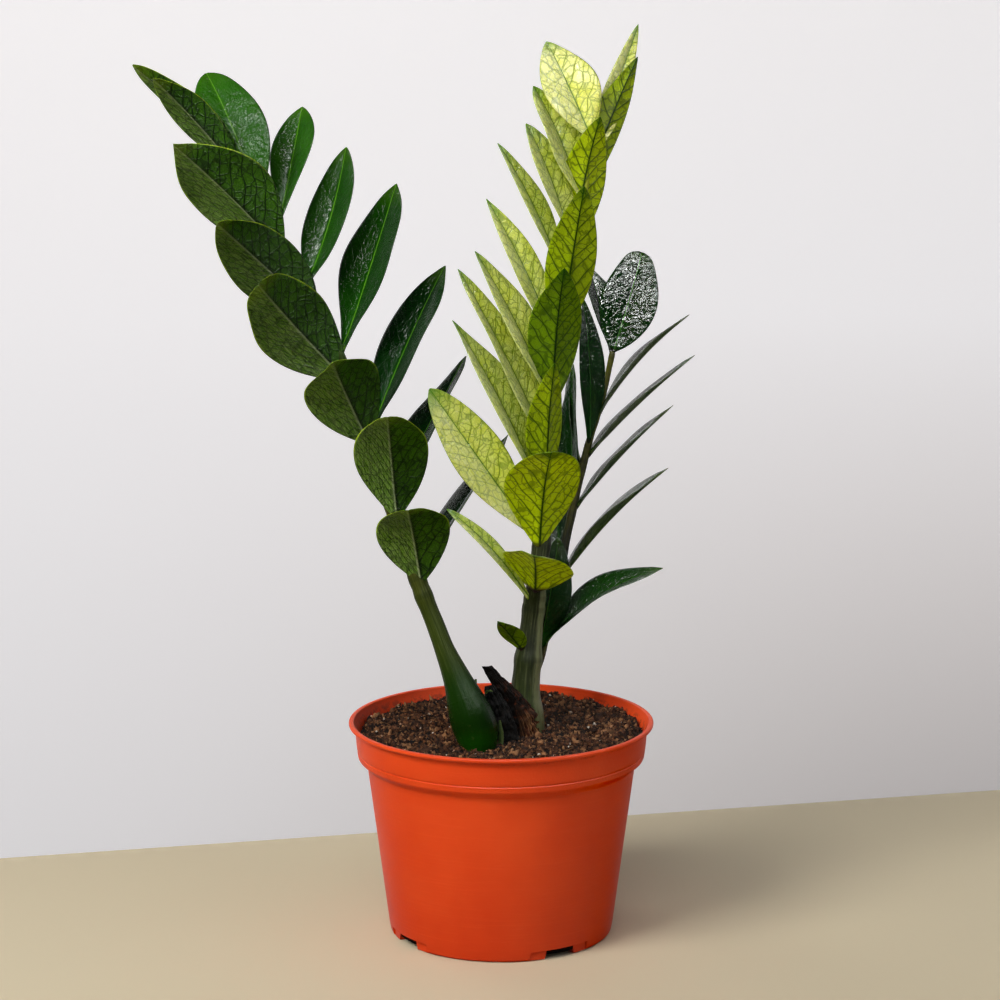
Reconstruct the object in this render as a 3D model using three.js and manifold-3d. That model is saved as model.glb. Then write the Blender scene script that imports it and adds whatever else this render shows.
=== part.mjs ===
// Potted ZZ plant in an orange nursery pot.
// Three arching fronds grow from a hidden rhizome in dark potting mix.
// Millimetres, +Z up. The origin is the middle of the pot's underside and
// -Y is the front, the side from which the pot shows one drainage notch.

import * as THREE from 'three';
import { mergeVertices } from 'three/addons/utils/BufferGeometryUtils.js';
import Module from 'manifold-3d';

const wasm = await Module();
wasm.setup();

// ---------------------------------------------------------------- driving dimensions

const CLEARANCE = 0.35; // between pieces that touch in the real plant

// Pot: a flared azalea-type nursery pot with a stepped rim band
const POT_HEIGHT = 117;
const POT_RIM_RADIUS = 82.5;
const POT_BAND_RADIUS = 78.5; // top of the band below the lip
const POT_BODY_RADIUS = 72.5; // where the tapering body meets the band's step
const POT_BASE_RADIUS = 60.6;
const POT_WALL = 1.4;
const POT_FLOOR = 1.6;
const LIP_HEIGHT = 3;
const LIP_WIDTH = 2.8;
const BAND_TOP = 108.5;
const BAND_BOTTOM = 99;
const STEP_BOTTOM = 91.5;
const BASE_EDGE = 2; // rounding of the bottom edge
const POT_SIDES = 64;

const NOTCH_COUNT = 4;
const NOTCH_AZIMUTH = -58; // degrees from +X: the front one sits a little to the right
const NOTCH_WIDTH = 14;
const NOTCH_HEIGHT = 5.3;
const NOTCH_DEPTH = 12;
const PAD_WIDTH = 7.5; // shallow recess on both sides of each notch
const PAD_DEPTH = 0.6;

// Potting mix
const SOIL_LEVEL = 110; // about 7 mm below the rim
const SOIL_EDGE_LEVEL = 108.8;
const SOIL_RELIEF = 0.8;
const MOUND = { x: 38, y: 46, height: 2.6, spread: 24 }; // heaped up behind the stems
const SOIL_SIDES = 44;
const SEAT_LEVEL = 80; // where the fronds stand on the rhizome

// Leaflet blades
const BLADE = 0.9; // thickness
const STALK_RADIUS = 1.3; // short stalk between rachis and blade
const BLADE_ROWS = 6; // along the midrib
const BLADE_COLUMNS = 4; // across
const TIP_HALF_WIDTH = 0.5;
const STEM_SIDES = 10;

// ---------------------------------------------------------------- fronds
// path:     centre line of petiole and rachis, [x, y, z, radius] from the rhizome up
// leaflets: from  = height at which the leaflet leaves the rachis
//           tip   = where its point ends
//           width = widest across, flat
//           face  = the way its glossy upper face looks
//           bow   = arch of the midrib towards the upper face
//           fold  = degrees by which both halves rise from the midrib
//           belly = place of the widest part, from 0 at the stalk to 1 at the tip

const LEFT_FROND = {
  path: [
    [-11, -31, 80, 8.2], [-12, -33, 95, 9.4], [-12, -34, 109, 10.4], [-13, -34, 116, 10.8],
    [-14, -33, 125, 10.5], [-18, -31, 136, 9.2], [-22, -29, 146, 7.4], [-29, -26, 162, 5.5],
    [-34, -23, 175, 5.1], [-40, -20, 189, 4.8], [-48, -16, 209, 4.3], [-58, -12, 234, 3.3],
    [-65, -9, 258, 2.9], [-73, -5, 285, 2.6], [-83, -2, 311, 2.4], [-96, 1, 337, 2.2],
    [-110, 4, 363, 2.0], [-123, 7, 387, 1.8], [-134, 10, 409, 1.5],
  ],
  leaflets: [
    // front row, seen from below
    { from: 190, tip: [-48, -56, 243], width: 40, face: [-0.1, 0.85, 0.55], bow: 8, fold: 26, belly: 0.5 },
    { from: 225, tip: [-58, -58, 292], width: 41, face: [-0.1, 0.85, 0.55], bow: 7, fold: 16, belly: 0.5 },
    { from: 265, tip: [-86, -54, 320], width: 43, face: [-0.4, 0.75, 0.5], bow: 9, fold: 14, belly: 0.5 },
    { from: 300, tip: [-124, -47, 359], width: 43, face: [-0.5, 0.85, 0.25], bow: 9, fold: 12, belly: 0.5 },
    { from: 336, tip: [-145, -44, 390], width: 37, face: [-0.45, 0.85, 0.3], bow: 11, fold: 12, belly: 0.4 },
    { from: 368, tip: [-169, -24, 429], width: 45, face: [0, 0.9, 0.4], bow: 4, fold: 12, belly: 0.5 },
    { from: 400, tip: [-180, -12, 462], width: 21, face: [0, 0.95, 0.3], bow: 7, fold: 18, belly: 0.6 },
    { from: 400, tip: [-193, 9, 468], width: 24, face: [0.45, 0.8, 0.45], bow: 5, fold: 18, belly: 0.5 },
    // back row, seen from above
    { from: 199, tip: [4, 58, 264], width: 31, face: [-0.7, -0.15, 0.7], bow: 0, fold: 14, belly: 0.45 },
    { from: 239, tip: [-19, 42, 310], width: 33, face: [-0.7, -0.35, 0.65], bow: 0, fold: 14, belly: 0.4 },
    { from: 273, tip: [-30, 34, 360], width: 35, face: [-0.65, -0.55, 0.55], bow: 2, fold: 14, belly: 0.55 },
    { from: 315, tip: [-56, 34, 404], width: 37, face: [-0.65, -0.65, 0.45], bow: -1, fold: 12, belly: 0.55 },
    { from: 351, tip: [-83, 40, 423], width: 30, face: [-0.55, -0.7, 0.5], bow: -4, fold: 12, belly: 0.5 },
    { from: 379, tip: [-107, 50, 444], width: 27, face: [-0.45, -0.7, 0.55], bow: -1, fold: 12, belly: 0.65 },
    { from: 394, tip: [-158, 46, 462], width: 36, face: [0.1, -0.85, 0.5], bow: 9, fold: 10, belly: 0.5 },
  ],
};

const MIDDLE_FROND = {
  path: [
    [13, -2, 80, 8], [14, -1, 95, 9], [14, 0, 109, 9.4], [14, 0, 119, 9.2],
    [13, 2, 132, 8.0], [15, 4, 154, 6.8], [18, 7, 182, 5.5], [22, 10, 214, 4.6],
    [25, 13, 246, 3.4], [27, 15, 279, 2.9], [30, 17, 311, 2.6], [35, 18, 343, 2.4],
    [40, 20, 375, 2.1], [45, 22, 407, 1.9], [48, 23, 423, 1.7], [52, 25, 442, 1.5],
  ],
  leaflets: [
    // left row, glossy upper faces
    { from: 150, tip: [-2, -19, 176], width: 14, face: [0.2, 0.7, 0.7], bow: 1, fold: 12, belly: 0.4 },
    { from: 177, tip: [-29, -10, 235], width: 11, face: [0.7, -0.65, 0.35], bow: 6, fold: 16, belly: 0.5 },
    { from: 211, tip: [-38, -6, 299], width: 30, face: [0.35, -0.95, 0.1], bow: -1, fold: 12, belly: 0.55 },
    { from: 232, tip: [-26, 6, 334], width: 32, face: [0.8, -0.5, 0.35], bow: 4, fold: 20, belly: 0.5 },
    { from: 262, tip: [-23, 8, 361], width: 28, face: [0.75, -0.55, 0.35], bow: 2, fold: 20, belly: 0.4 },
    { from: 285, tip: [-14, 12, 370], width: 26, face: [0.75, -0.6, 0.35], bow: 3, fold: 18, belly: 0.5 },
    { from: 315, tip: [-8, 10, 398], width: 20, face: [0.6, -0.75, 0.2], bow: 4, fold: 18, belly: 0.5 },
    { from: 346, tip: [-2, 14, 427], width: 18, face: [0.75, -0.6, 0.3], bow: 4, fold: 18, belly: 0.55 },
    { from: 366, tip: [13, 16, 437], width: 26, face: [0.75, -0.6, 0.25], bow: 3, fold: 18, belly: 0.6 },
    { from: 394, tip: [17, 30, 456], width: 28, face: [0.65, -0.7, 0.35], bow: 3, fold: 18, belly: 0.5 },
    { from: 426, tip: [24, 40, 479], width: 32, face: [0.25, -0.9, 0.4], bow: 2, fold: 10, belly: 0.5 },
    // front row, seen from below
    { from: 183, tip: [17, -46, 217], width: 40, face: [0.25, 0.5, 0.8], bow: 3, fold: 12, belly: 0.4 },
    { from: 202, tip: [26, -42, 271], width: 43, face: [-0.15, 0.8, 0.6], bow: 7, fold: 16, belly: 0.55 },
    { from: 239, tip: [28, -15, 314], width: 25, face: [-0.5, 0.8, 0.3], bow: 2, fold: 24, belly: 0.45 },
    { from: 281, tip: [33, -16, 364], width: 30, face: [-0.2, 0.9, 0.35], bow: 5, fold: 14, belly: 0.5 },
    { from: 321, tip: [43, -22, 407], width: 27, face: [-0.05, 0.95, 0.35], bow: 3, fold: 12, belly: 0.45 },
    { from: 368, tip: [52, 8, 441], width: 26, face: [-0.2, 0.9, 0.35], bow: 6, fold: 14, belly: 0.45 },
    { from: 400, tip: [73, 42, 471], width: 20, face: [-0.45, 0.85, -0.2], bow: 3, fold: 16, belly: 0.45 },
    { from: 419, tip: [75, 84, 487], width: 15, face: [0.45, -0.85, 0.3], bow: 1, fold: 14, belly: 0.4 },
  ],
};

const BACK_FROND = {
  path: [
    [8, 28, 80, 6], [9, 29, 95, 6.4], [10, 30, 111, 6.2], [14, 33, 123, 5.4],
    [20, 36, 139, 4.3], [24, 38, 152, 3.9], [28, 41, 167, 3.7], [33, 45, 188, 3.4],
    [37, 48, 208, 3.1], [42, 51, 230, 2.8], [46, 53, 248, 2.5], [50, 54, 264, 2.2],
    [56, 56, 286, 1.9],
    [61, 58, 309, 1.6],
  ],
  leaflets: [
    // right row, seen nearly edge-on
    { from: 145, tip: [88, 18, 197], width: 27, face: [-0.65, -0.25, 0.7], bow: 8, fold: 22, belly: 0.55 },
    { from: 180, tip: [92, 48, 247], width: 35, face: [-0.75, 0.1, 0.65], bow: 4, fold: 12, belly: 0.5 },
    { from: 221, tip: [95, 60, 280], width: 25, face: [-0.75, 0.05, 0.7], bow: 2, fold: 10, belly: 0.45 },
    { from: 250, tip: [107, 66, 307], width: 26, face: [-0.7, 0.05, 0.75], bow: 2, fold: 10, belly: 0.4 },
    { from: 272, tip: [104, 70, 329], width: 26, face: [-0.75, 0.05, 0.65], bow: 4, fold: 10, belly: 0.45 },
    // left row and the two at the end
    { from: 143, tip: [31, 28, 212], width: 23, face: [0.2, -0.95, -0.15], bow: 4, fold: 16, belly: 0.5 },
    { from: 197, tip: [31, 96, 233], width: 30, face: [-0.4, -0.55, 0.75], bow: 4, fold: 16, belly: 0.5 },
    { from: 227, tip: [40, 66, 302], width: 22, face: [-0.85, -0.5, 0.1], bow: 1, fold: 16, belly: 0.4 },
    { from: 245, tip: [39, 84, 302], width: 23, face: [-1, -0.15, 0], bow: 2, fold: 16, belly: 0.4 },
    { from: 258, tip: [44, 46, 342], width: 18, face: [0.6, -0.8, -0.05], bow: 4, fold: 14, belly: 0.5 },
    { from: 308, tip: [49, 84, 354], width: 21, face: [0.6, -0.6, 0.5], bow: 0, fold: 18, belly: 0.6 },
    { from: 307, tip: [78, 84, 362], width: 32, face: [0.15, -0.9, 0.4], bow: 5, fold: 8, belly: 0.45 },
  ],
};

// Dry brown sheath that wraps the front of the middle petiole and curls away at its tip
const SHEATH = {
  foot: [9, -14, 103],
  tip: [-7, -16, 151],
  face: [0.45, 0.85, 0.25],
  footWidth: 22,
  tipWidth: 5,
  curl: 6,
  bow: -3,
  thickness: 1.1,
};

// Rhizome: tubers [x, y, bottom, radius] that reach up to the fronds' seats,
// and fleshy roots [start, middle, end, radius]
const TUBERS = [
  [-11, -31, 36, 21],
  [13, -2, 40, 19],
  [8, 28, 46, 15],
];
const TUBER_TOP_RADIUS = 8.8;
const ROOTS = [
  [[-18, -32, 52], [-38, -36, 44], [-44, -34, 20], 2.6],
  [[-4, -34, 48], [8, -48, 40], [16, -52, 16], 2.6],
  [[-18, -24, 50], [-40, -6, 42], [-46, 8, 18], 2.4],
  [[24, -2, 52], [44, -6, 44], [52, -14, 22], 2.6],
  [[4, 32, 56], [-6, 46, 46], [-14, 48, 24], 2.4],
  [[14, 32, 54], [32, 38, 44], [38, 38, 20], 2.2],
];
const ROOT_SIDES = 6;
const ROOT_STEPS = 4;
const TUBER_SIDES = 12;

const COLOURS = {
  pot: { color: 0xd6491f, roughness: 0.42, metalness: 0 },
  soil: { color: 0x33221a, roughness: 0.95, metalness: 0 },
  darkLeaf: { color: 0x24441a, roughness: 0.32, metalness: 0 },
  yellowLeaf: { color: 0x9fae2c, roughness: 0.38, metalness: 0 },
  shadeLeaf: { color: 0x1f3a1a, roughness: 0.3, metalness: 0 },
  driedSheath: { color: 0x2a1710, roughness: 0.7, metalness: 0 },
  tuber: { color: 0xb9a06c, roughness: 0.8, metalness: 0 },
};

// ---------------------------------------------------------------- solids

const UPRIGHT = [0, 0, 1];

const vec = (p) => new THREE.Vector3(p[0], p[1], p[2]);

function toSolid(geometry) {
  const bare = geometry.clone();
  bare.deleteAttribute('normal');
  bare.deleteAttribute('uv');
  const merged = mergeVertices(bare, 1e-3);
  const index = merged.index.array;
  const kept = [];
  for (let i = 0; i < index.length; i += 3) {
    const [a, b, c] = [index[i], index[i + 1], index[i + 2]];
    if (a !== b && b !== c && c !== a) kept.push(a, b, c);
  }
  return new wasm.Manifold(new wasm.Mesh({
    numProp: 3,
    vertProperties: new Float32Array(merged.attributes.position.array),
    triVerts: new Uint32Array(kept),
  }));
}

function toGeometry(solid) {
  const mesh = solid.getMesh();
  const geometry = new THREE.BufferGeometry();
  geometry.setAttribute('position', new THREE.BufferAttribute(mesh.vertProperties, 3));
  geometry.setIndex(new THREE.BufferAttribute(mesh.triVerts, 1));
  geometry.computeVertexNormals();
  return geometry;
}

function joined(geometries) {
  return geometries.map(toSolid).reduce((whole, next) => whole.add(next));
}

// A closed body through rings of points. The rings run counter-clockwise about the
// direction of travel. From point `turn` of a ring on, the faces are split along the
// other diagonal, so that the two faces of a thin blade are split alike.
function loft(rings, turn = Infinity) {
  const size = rings[0].length;
  const positions = rings.flat().flatMap((p) => [p.x, p.y, p.z]);
  const index = [];
  for (let k = 0; k + 1 < rings.length; k++) {
    for (let j = 0; j < size; j++) {
      const a = k * size + j;
      const b = k * size + ((j + 1) % size);
      const c = a + size;
      const d = b + size;
      if (j < turn) index.push(a, b, d, a, d, c);
      else index.push(a, b, c, b, d, c);
    }
  }
  const last = (rings.length - 1) * size;
  // The caps are strips, so that a blade's flat end stays flat
  for (let i = 0, j = size - 1; i + 1 < j; i++, j--) {
    index.push(i, j, i + 1, last + i, last + i + 1, last + j);
    if (i + 1 < j - 1) {
      index.push(i + 1, j, j - 1, last + i + 1, last + j - 1, last + j);
    }
  }
  const geometry = new THREE.BufferGeometry();
  geometry.setAttribute('position', new THREE.Float32BufferAttribute(positions, 3));
  geometry.setIndex(index);
  return geometry;
}

// Round stem through [x, y, z, radius] points, `grow` thicker all round; its foot is
// square to `footAxis` where one is given
function stem(path, sides, sideways, grow = 0, footAxis = null) {
  const curve = new THREE.CatmullRomCurve3(path.map(vec), false, 'centripetal');
  const rings = path.map((point, k) => {
    const leaning = curve.getTangent(k / (path.length - 1));
    const along = k === 0 && footAxis ? vec(footAxis) : leaning;
    const across = vec(sideways).cross(along).normalize();
    const third = along.clone().cross(across);
    return Array.from({ length: sides }, (_, j) => {
      const angle = (2 * Math.PI * j) / sides;
      return vec(point)
        .addScaledVector(across, (point[3] + grow) * Math.cos(angle))
        .addScaledVector(third, (point[3] + grow) * Math.sin(angle));
    });
  });
  return loft(rings);
}

// ---------------------------------------------------------------- leaflets

// Half width of a pointed oval, from 0 to 1, at `u` along it and widest at `belly`
function oval(u, belly) {
  const eased = Math.pow(u, Math.log(0.5) / Math.log(belly));
  return Math.pow(Math.sin(Math.PI * Math.min(1, Math.max(0, eased))), 0.85);
}

// Point and radius of the stem at height z
function stemAt(path, z) {
  const k = path.findIndex((p, i) => i > 0 && p[2] >= z);
  const t = (z - path[k - 1][2]) / (path[k][2] - path[k - 1][2]);
  return path[k - 1].map((value, i) => THREE.MathUtils.lerp(value, path[k][i], t));
}

function leaflet(path, spec) {
  const root = stemAt(path, spec.from);
  const base = vec(root);
  const along = vec(spec.tip).sub(base);
  const length = along.length();
  const normal = vec(spec.face);
  normal.addScaledVector(along, -normal.dot(along) / (length * length)).normalize();
  const side = normal.clone().cross(along).normalize();
  const stalkEnd = (root[3] + 1.5) / length;
  const rise = THREE.MathUtils.degToRad(spec.fold);

  const stations = [0, stalkEnd];
  for (let k = 1; k <= BLADE_ROWS; k++) {
    stations.push(stalkEnd + (1 - stalkEnd) * (k / BLADE_ROWS));
  }
  const rings = stations.map((u) => {
    const blade = Math.max(0, (u - stalkEnd) / (1 - stalkEnd));
    const arch = spec.bow * 4 * u * (1 - u);
    const slope = spec.bow * 4 * (1 - 2 * u);
    const tangent = along.clone().addScaledVector(normal, slope).normalize();
    const up = tangent.clone().cross(side).normalize();
    const middle = base.clone().addScaledVector(along, u).addScaledVector(normal, arch);
    const half = Math.max(
      blade < 0.5 ? STALK_RADIUS : TIP_HALF_WIDTH,
      0.5 * spec.width * oval(blade, spec.belly),
    );
    const thick = 0.5 * THREE.MathUtils.lerp(2 * STALK_RADIUS, BLADE, Math.min(1, blade * 6));
    const point = (v, offset) => {
      const reach = Math.abs(v) * half;
      const lift = reach * Math.sin(rise) * (1 - 0.35 * Math.abs(v));
      return middle.clone()
        .addScaledVector(side, v * half * Math.cos(rise))
        .addScaledVector(up, lift + offset);
    };
    const across = Array.from({ length: BLADE_COLUMNS + 1 }, (_, j) => 1 - (2 * j) / BLADE_COLUMNS);
    const upper = across.map((v) => point(v, thick));
    const lower = across.map((v) => point(v, -thick)).reverse();
    return [...upper, ...lower];
  });
  return loft(rings, BLADE_COLUMNS + 1);
}

function frond({ path, leaflets }) {
  const stemBody = stem(path, STEM_SIDES, [0, 1, 0], 0, UPRIGHT);
  return joined([stemBody, ...leaflets.map((spec) => leaflet(path, spec))]);
}

// ---------------------------------------------------------------- pot

// Ring sector about the Z axis, from the ground up
function sector(inner, outer, middleDegrees, width, height) {
  const middle = THREE.MathUtils.degToRad(middleDegrees);
  const reach = width / 2 / inner;
  const shape = new THREE.Shape();
  shape.absarc(0, 0, outer, middle - reach, middle + reach, false);
  shape.absarc(0, 0, inner, middle + reach, middle - reach, true);
  shape.closePath();
  const body = new THREE.ExtrudeGeometry(shape, {
    depth: height + 1, bevelEnabled: false, curveSegments: 6,
  });
  body.translate(0, 0, -1);
  return body;
}

function potProfile() {
  const lipBottom = POT_HEIGHT - LIP_HEIGHT;
  const inset = POT_WALL;
  const outer = [
    [0, 0], [POT_BASE_RADIUS - BASE_EDGE, 0], [POT_BASE_RADIUS - 0.6, 0.6],
    [POT_BASE_RADIUS, BASE_EDGE], [POT_BODY_RADIUS, STEP_BOTTOM],
    [POT_BODY_RADIUS + 0.9, STEP_BOTTOM + 2.2], [POT_BAND_RADIUS - 1.9, BAND_BOTTOM - 1.6],
    [POT_BAND_RADIUS - 0.9, BAND_BOTTOM], [POT_BAND_RADIUS, BAND_TOP],
    [POT_RIM_RADIUS, lipBottom], [POT_RIM_RADIUS, POT_HEIGHT - 0.5],
    [POT_RIM_RADIUS - 0.5, POT_HEIGHT],
  ];
  const inner = [
    [POT_RIM_RADIUS - LIP_WIDTH, POT_HEIGHT], [POT_RIM_RADIUS - LIP_WIDTH, lipBottom],
    [POT_BAND_RADIUS - inset, BAND_TOP], [POT_BAND_RADIUS - 0.9 - inset, BAND_BOTTOM],
    [POT_BODY_RADIUS - inset, STEP_BOTTOM], [POT_BASE_RADIUS - inset, POT_FLOOR],
    [0, POT_FLOOR],
  ];
  return [...outer, ...inner].map(([r, z]) => new THREE.Vector2(r, z));
}

function pot() {
  const turned = new THREE.LatheGeometry(potProfile(), POT_SIDES);
  turned.rotateX(Math.PI / 2); // the lathe turns about Y
  let body = toSolid(turned);
  for (let k = 0; k < NOTCH_COUNT; k++) {
    const azimuth = NOTCH_AZIMUTH + (360 * k) / NOTCH_COUNT;
    const notch = new THREE.BoxGeometry(NOTCH_DEPTH, NOTCH_WIDTH, 2 * NOTCH_HEIGHT);
    notch.translate(POT_BASE_RADIUS - NOTCH_DEPTH / 2 + 3, 0, 0);
    notch.rotateZ(THREE.MathUtils.degToRad(azimuth));
    const pads = sector(
      POT_BASE_RADIUS - PAD_DEPTH, POT_BASE_RADIUS + 6, azimuth,
      NOTCH_WIDTH + 2 * PAD_WIDTH, NOTCH_HEIGHT,
    );
    body = body.subtract(toSolid(notch)).subtract(toSolid(pads));
  }
  return body;
}

// ---------------------------------------------------------------- rhizome

function tuber([x, y, bottom, radius], grow) {
  const top = SEAT_LEVEL - CLEARANCE + grow;
  const low = bottom - grow;
  const half = (top - low) / 2;
  const profile = [new THREE.Vector2(0, low)];
  for (const share of [0.3, 0.62, 0.84, 0.97, 1, 0.94, 0.78]) {
    const rises = profile.length / 8;
    profile.push(new THREE.Vector2((radius + grow) * share, low + 2 * half * rises));
  }
  profile.push(new THREE.Vector2(TUBER_TOP_RADIUS + grow, top), new THREE.Vector2(0, top));
  const body = new THREE.LatheGeometry(profile, TUBER_SIDES);
  body.rotateX(Math.PI / 2);
  body.translate(x, y, 0);
  return body;
}

function root([start, middle, end, radius], grow) {
  const curve = new THREE.QuadraticBezierCurve3(vec(start), vec(middle), vec(end));
  const points = curve.getPoints(ROOT_STEPS);
  points[ROOT_STEPS].addScaledVector(curve.getTangent(1), grow);
  const path = points.map((p, k) => [p.x, p.y, p.z, radius * (1 - 0.1 * k)]);
  return stem(path, ROOT_SIDES, [0.3, 0.2, 1], grow);
}

function rhizome(grow) {
  return joined([
    ...TUBERS.map((spec) => tuber(spec, grow)),
    ...ROOTS.map((spec) => root(spec, grow)),
  ]);
}

// ---------------------------------------------------------------- dry sheath

function sheath(grow) {
  const foot = vec(SHEATH.foot);
  const along = vec(SHEATH.tip).sub(foot);
  const normal = vec(SHEATH.face);
  normal.addScaledVector(along, -normal.dot(along) / along.lengthSq()).normalize();
  const side = normal.clone().cross(along).normalize();
  const rings = [];
  const steps = 6;
  for (let k = 0; k <= steps; k++) {
    const u = k / steps;
    const half = THREE.MathUtils.lerp(SHEATH.footWidth, SHEATH.tipWidth, Math.pow(u, 0.8)) / 2;
    const middle = foot.clone().addScaledVector(along, u - (k === 0 ? grow / along.length() : 0))
      .addScaledVector(normal, SHEATH.bow * 4 * u * (1 - u));
    const across = [1, 0.5, 0, -0.5, -1];
    const point = (v, offset) => middle.clone()
      .addScaledVector(side, v * (half + grow))
      .addScaledVector(normal, SHEATH.curl * (1 - u) * v * v + offset);
    const offset = SHEATH.thickness / 2 + grow;
    rings.push([
      ...across.map((v) => point(v, offset)),
      ...across.map((v) => point(v, -offset)).reverse(),
    ]);
  }
  return toSolid(loft(rings, 5));
}

// ---------------------------------------------------------------- potting mix

function unevenness(x, y) {
  const slow = Math.sin(0.09 * x + 1.3) + Math.cos(0.11 * y - 0.4);
  const quick = Math.sin(0.31 * x + 0.23 * y) * Math.cos(0.27 * y - 0.19 * x);
  const away = ((x - MOUND.x) ** 2 + (y - MOUND.y) ** 2) / (2 * MOUND.spread ** 2);
  return SOIL_RELIEF * (0.6 * slow + 0.7 * quick) + MOUND.height * Math.exp(-away);
}

function pottingMix() {
  const inset = POT_WALL + CLEARANCE;
  const profile = [
    [0, POT_FLOOR + CLEARANCE], [POT_BASE_RADIUS - inset, POT_FLOOR + CLEARANCE],
    [POT_BODY_RADIUS - inset, STEP_BOTTOM], [POT_BAND_RADIUS - 0.9 - inset, BAND_BOTTOM],
    [POT_BAND_RADIUS - 0.2 - inset, SOIL_EDGE_LEVEL - 1.5],
    [68, SOIL_LEVEL - 0.6], [58, SOIL_LEVEL], [46, SOIL_LEVEL], [34, SOIL_LEVEL],
    [22, SOIL_LEVEL + 0.5], [10, SOIL_LEVEL + 0.5], [0, SOIL_LEVEL + 0.5],
  ].map(([r, z]) => new THREE.Vector2(r, z));
  const body = new THREE.LatheGeometry(profile, SOIL_SIDES);
  body.rotateX(Math.PI / 2);
  const position = body.attributes.position;
  for (let i = 0; i < position.count; i++) {
    const z = position.getZ(i);
    if (z > SOIL_EDGE_LEVEL) {
      position.setZ(i, z + unevenness(position.getX(i), position.getY(i)));
    }
  }
  let mix = toSolid(body).subtract(rhizome(CLEARANCE)).subtract(sheath(3 * CLEARANCE));
  for (const { path } of [LEFT_FROND, MIDDLE_FROND, BACK_FROND]) {
    const [[x, y, z, radius], ...rest] = path.slice(0, 5);
    const foot = [[x, y, z - 2 * CLEARANCE, radius], ...rest];
    mix = mix.subtract(toSolid(stem(foot, STEM_SIDES, [0, 1, 0], CLEARANCE, UPRIGHT)));
  }
  return mix;
}

// ---------------------------------------------------------------- assembly

function piece(name, solid, material) {
  const mesh = new THREE.Mesh(toGeometry(solid), new THREE.MeshStandardMaterial(material));
  mesh.name = name;
  return mesh;
}

const plant = new THREE.Group();
plant.add(
  piece('pot', pot(), COLOURS.pot),
  piece('potting_mix', pottingMix(), COLOURS.soil),
  piece('rhizome', rhizome(0), COLOURS.tuber),
  piece('frond_left', frond(LEFT_FROND), COLOURS.darkLeaf),
  piece('frond_middle', frond(MIDDLE_FROND), COLOURS.yellowLeaf),
  piece('frond_back', frond(BACK_FROND), COLOURS.shadeLeaf),
  piece('dry_sheath', sheath(0), COLOURS.driedSheath),
);

export default plant;
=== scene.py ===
"""Looks of the potted ZZ plant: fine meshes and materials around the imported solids."""

import math
import random

import bmesh
import bpy
import numpy as np
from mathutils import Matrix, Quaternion, Vector, noise


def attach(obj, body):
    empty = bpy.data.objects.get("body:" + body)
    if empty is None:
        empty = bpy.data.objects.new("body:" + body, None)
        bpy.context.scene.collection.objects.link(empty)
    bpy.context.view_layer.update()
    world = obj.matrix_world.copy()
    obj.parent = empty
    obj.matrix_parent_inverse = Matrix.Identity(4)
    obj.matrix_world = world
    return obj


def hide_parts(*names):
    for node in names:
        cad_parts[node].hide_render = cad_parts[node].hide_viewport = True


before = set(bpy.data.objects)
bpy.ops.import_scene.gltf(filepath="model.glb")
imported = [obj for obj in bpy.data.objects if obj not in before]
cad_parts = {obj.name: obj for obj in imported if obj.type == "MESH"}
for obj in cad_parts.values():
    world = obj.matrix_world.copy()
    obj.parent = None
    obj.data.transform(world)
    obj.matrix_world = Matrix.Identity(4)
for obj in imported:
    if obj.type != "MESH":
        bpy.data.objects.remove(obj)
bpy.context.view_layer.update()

MM = 0.001  # the sizes below are in millimetres, as in the part

# ---------------------------------------------------------------- driving dimensions

POT_HEIGHT = 117
POT_RIM_RADIUS = 82.5
POT_BAND_RADIUS = 78.5
POT_BODY_RADIUS = 72.5
POT_BASE_RADIUS = 60.6
POT_WALL = 1.4
POT_FLOOR = 1.6
LIP_HEIGHT = 2
LIP_WIDTH = 2.8
BAND_TOP = 108.5
BAND_BOTTOM = 99
STEP_BOTTOM = 91.5
POT_SIDES = 256
NOTCH_COUNT = 4
NOTCH_AZIMUTH = -58
NOTCH_WIDTH = 18.5
NOTCH_HEIGHT = 5.3
NOTCH_DEPTH = 12
FOOT_SHADE = 80  # below it painted shade makes the plastic a little deeper in colour
PAD_WIDTH = 9
PAD_DEPTH = 1.1

SOIL_LEVEL = 110
SOIL_RADIUS = 76.6
MOUND = {"x": 38, "y": 46, "height": 2.6, "spread": 24}

STALK_RADIUS = 1.2
BLADE = 0.7
BLADE_ROWS = 44
BLADE_COLUMNS = 22
VEIN_BEND = 0.01
VEIN_OFFSET = 3.1  # shift between the side veins of both halves
VEIN_WARP = 3.0
QUILT = 0.34  # rise between side veins
FOLD_MORE = 13  # degrees by which the blade halves rise beyond the plain leaf
STEM_SIDES = 40
STEM_STEP = 2.0  # between rings of a stem
BLADE_END = 0.997  # share of a leaflet's length at which its last ring lies
LEAST_HALF_WIDTH = 0.15
WAVE_HEIGHT = 0.022  # of the blade's width
TWIST = 5  # degrees at most by which a blade turns along its length
FULL_TURN = 6.28  # radians, for the waves of a blade
NET_WOBBLE = 2.6  # how far the net of fine veins is bent
SHEET_SQUARENESS = 8  # how late the thickness of a dry sheath runs out at its edges

LEAF_RELIEF = 0.00035  # depths of the fine relief, in metres
STEM_RELIEF = 0.0004
CRUMB_RELIEF = 0.0012

# ---------------------------------------------------------------- fronds
# The same centre lines and leaflets as the part's fronds:
# path rows are x, y, z, radius; leaflet rows are
# from, tip, width, face, bow, fold, belly, point (low is blunt, high is sharp),
# hue from deep green (0) to yellow (1): each leaflet's own colour, lowered on some as painted shade; gloss

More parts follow.
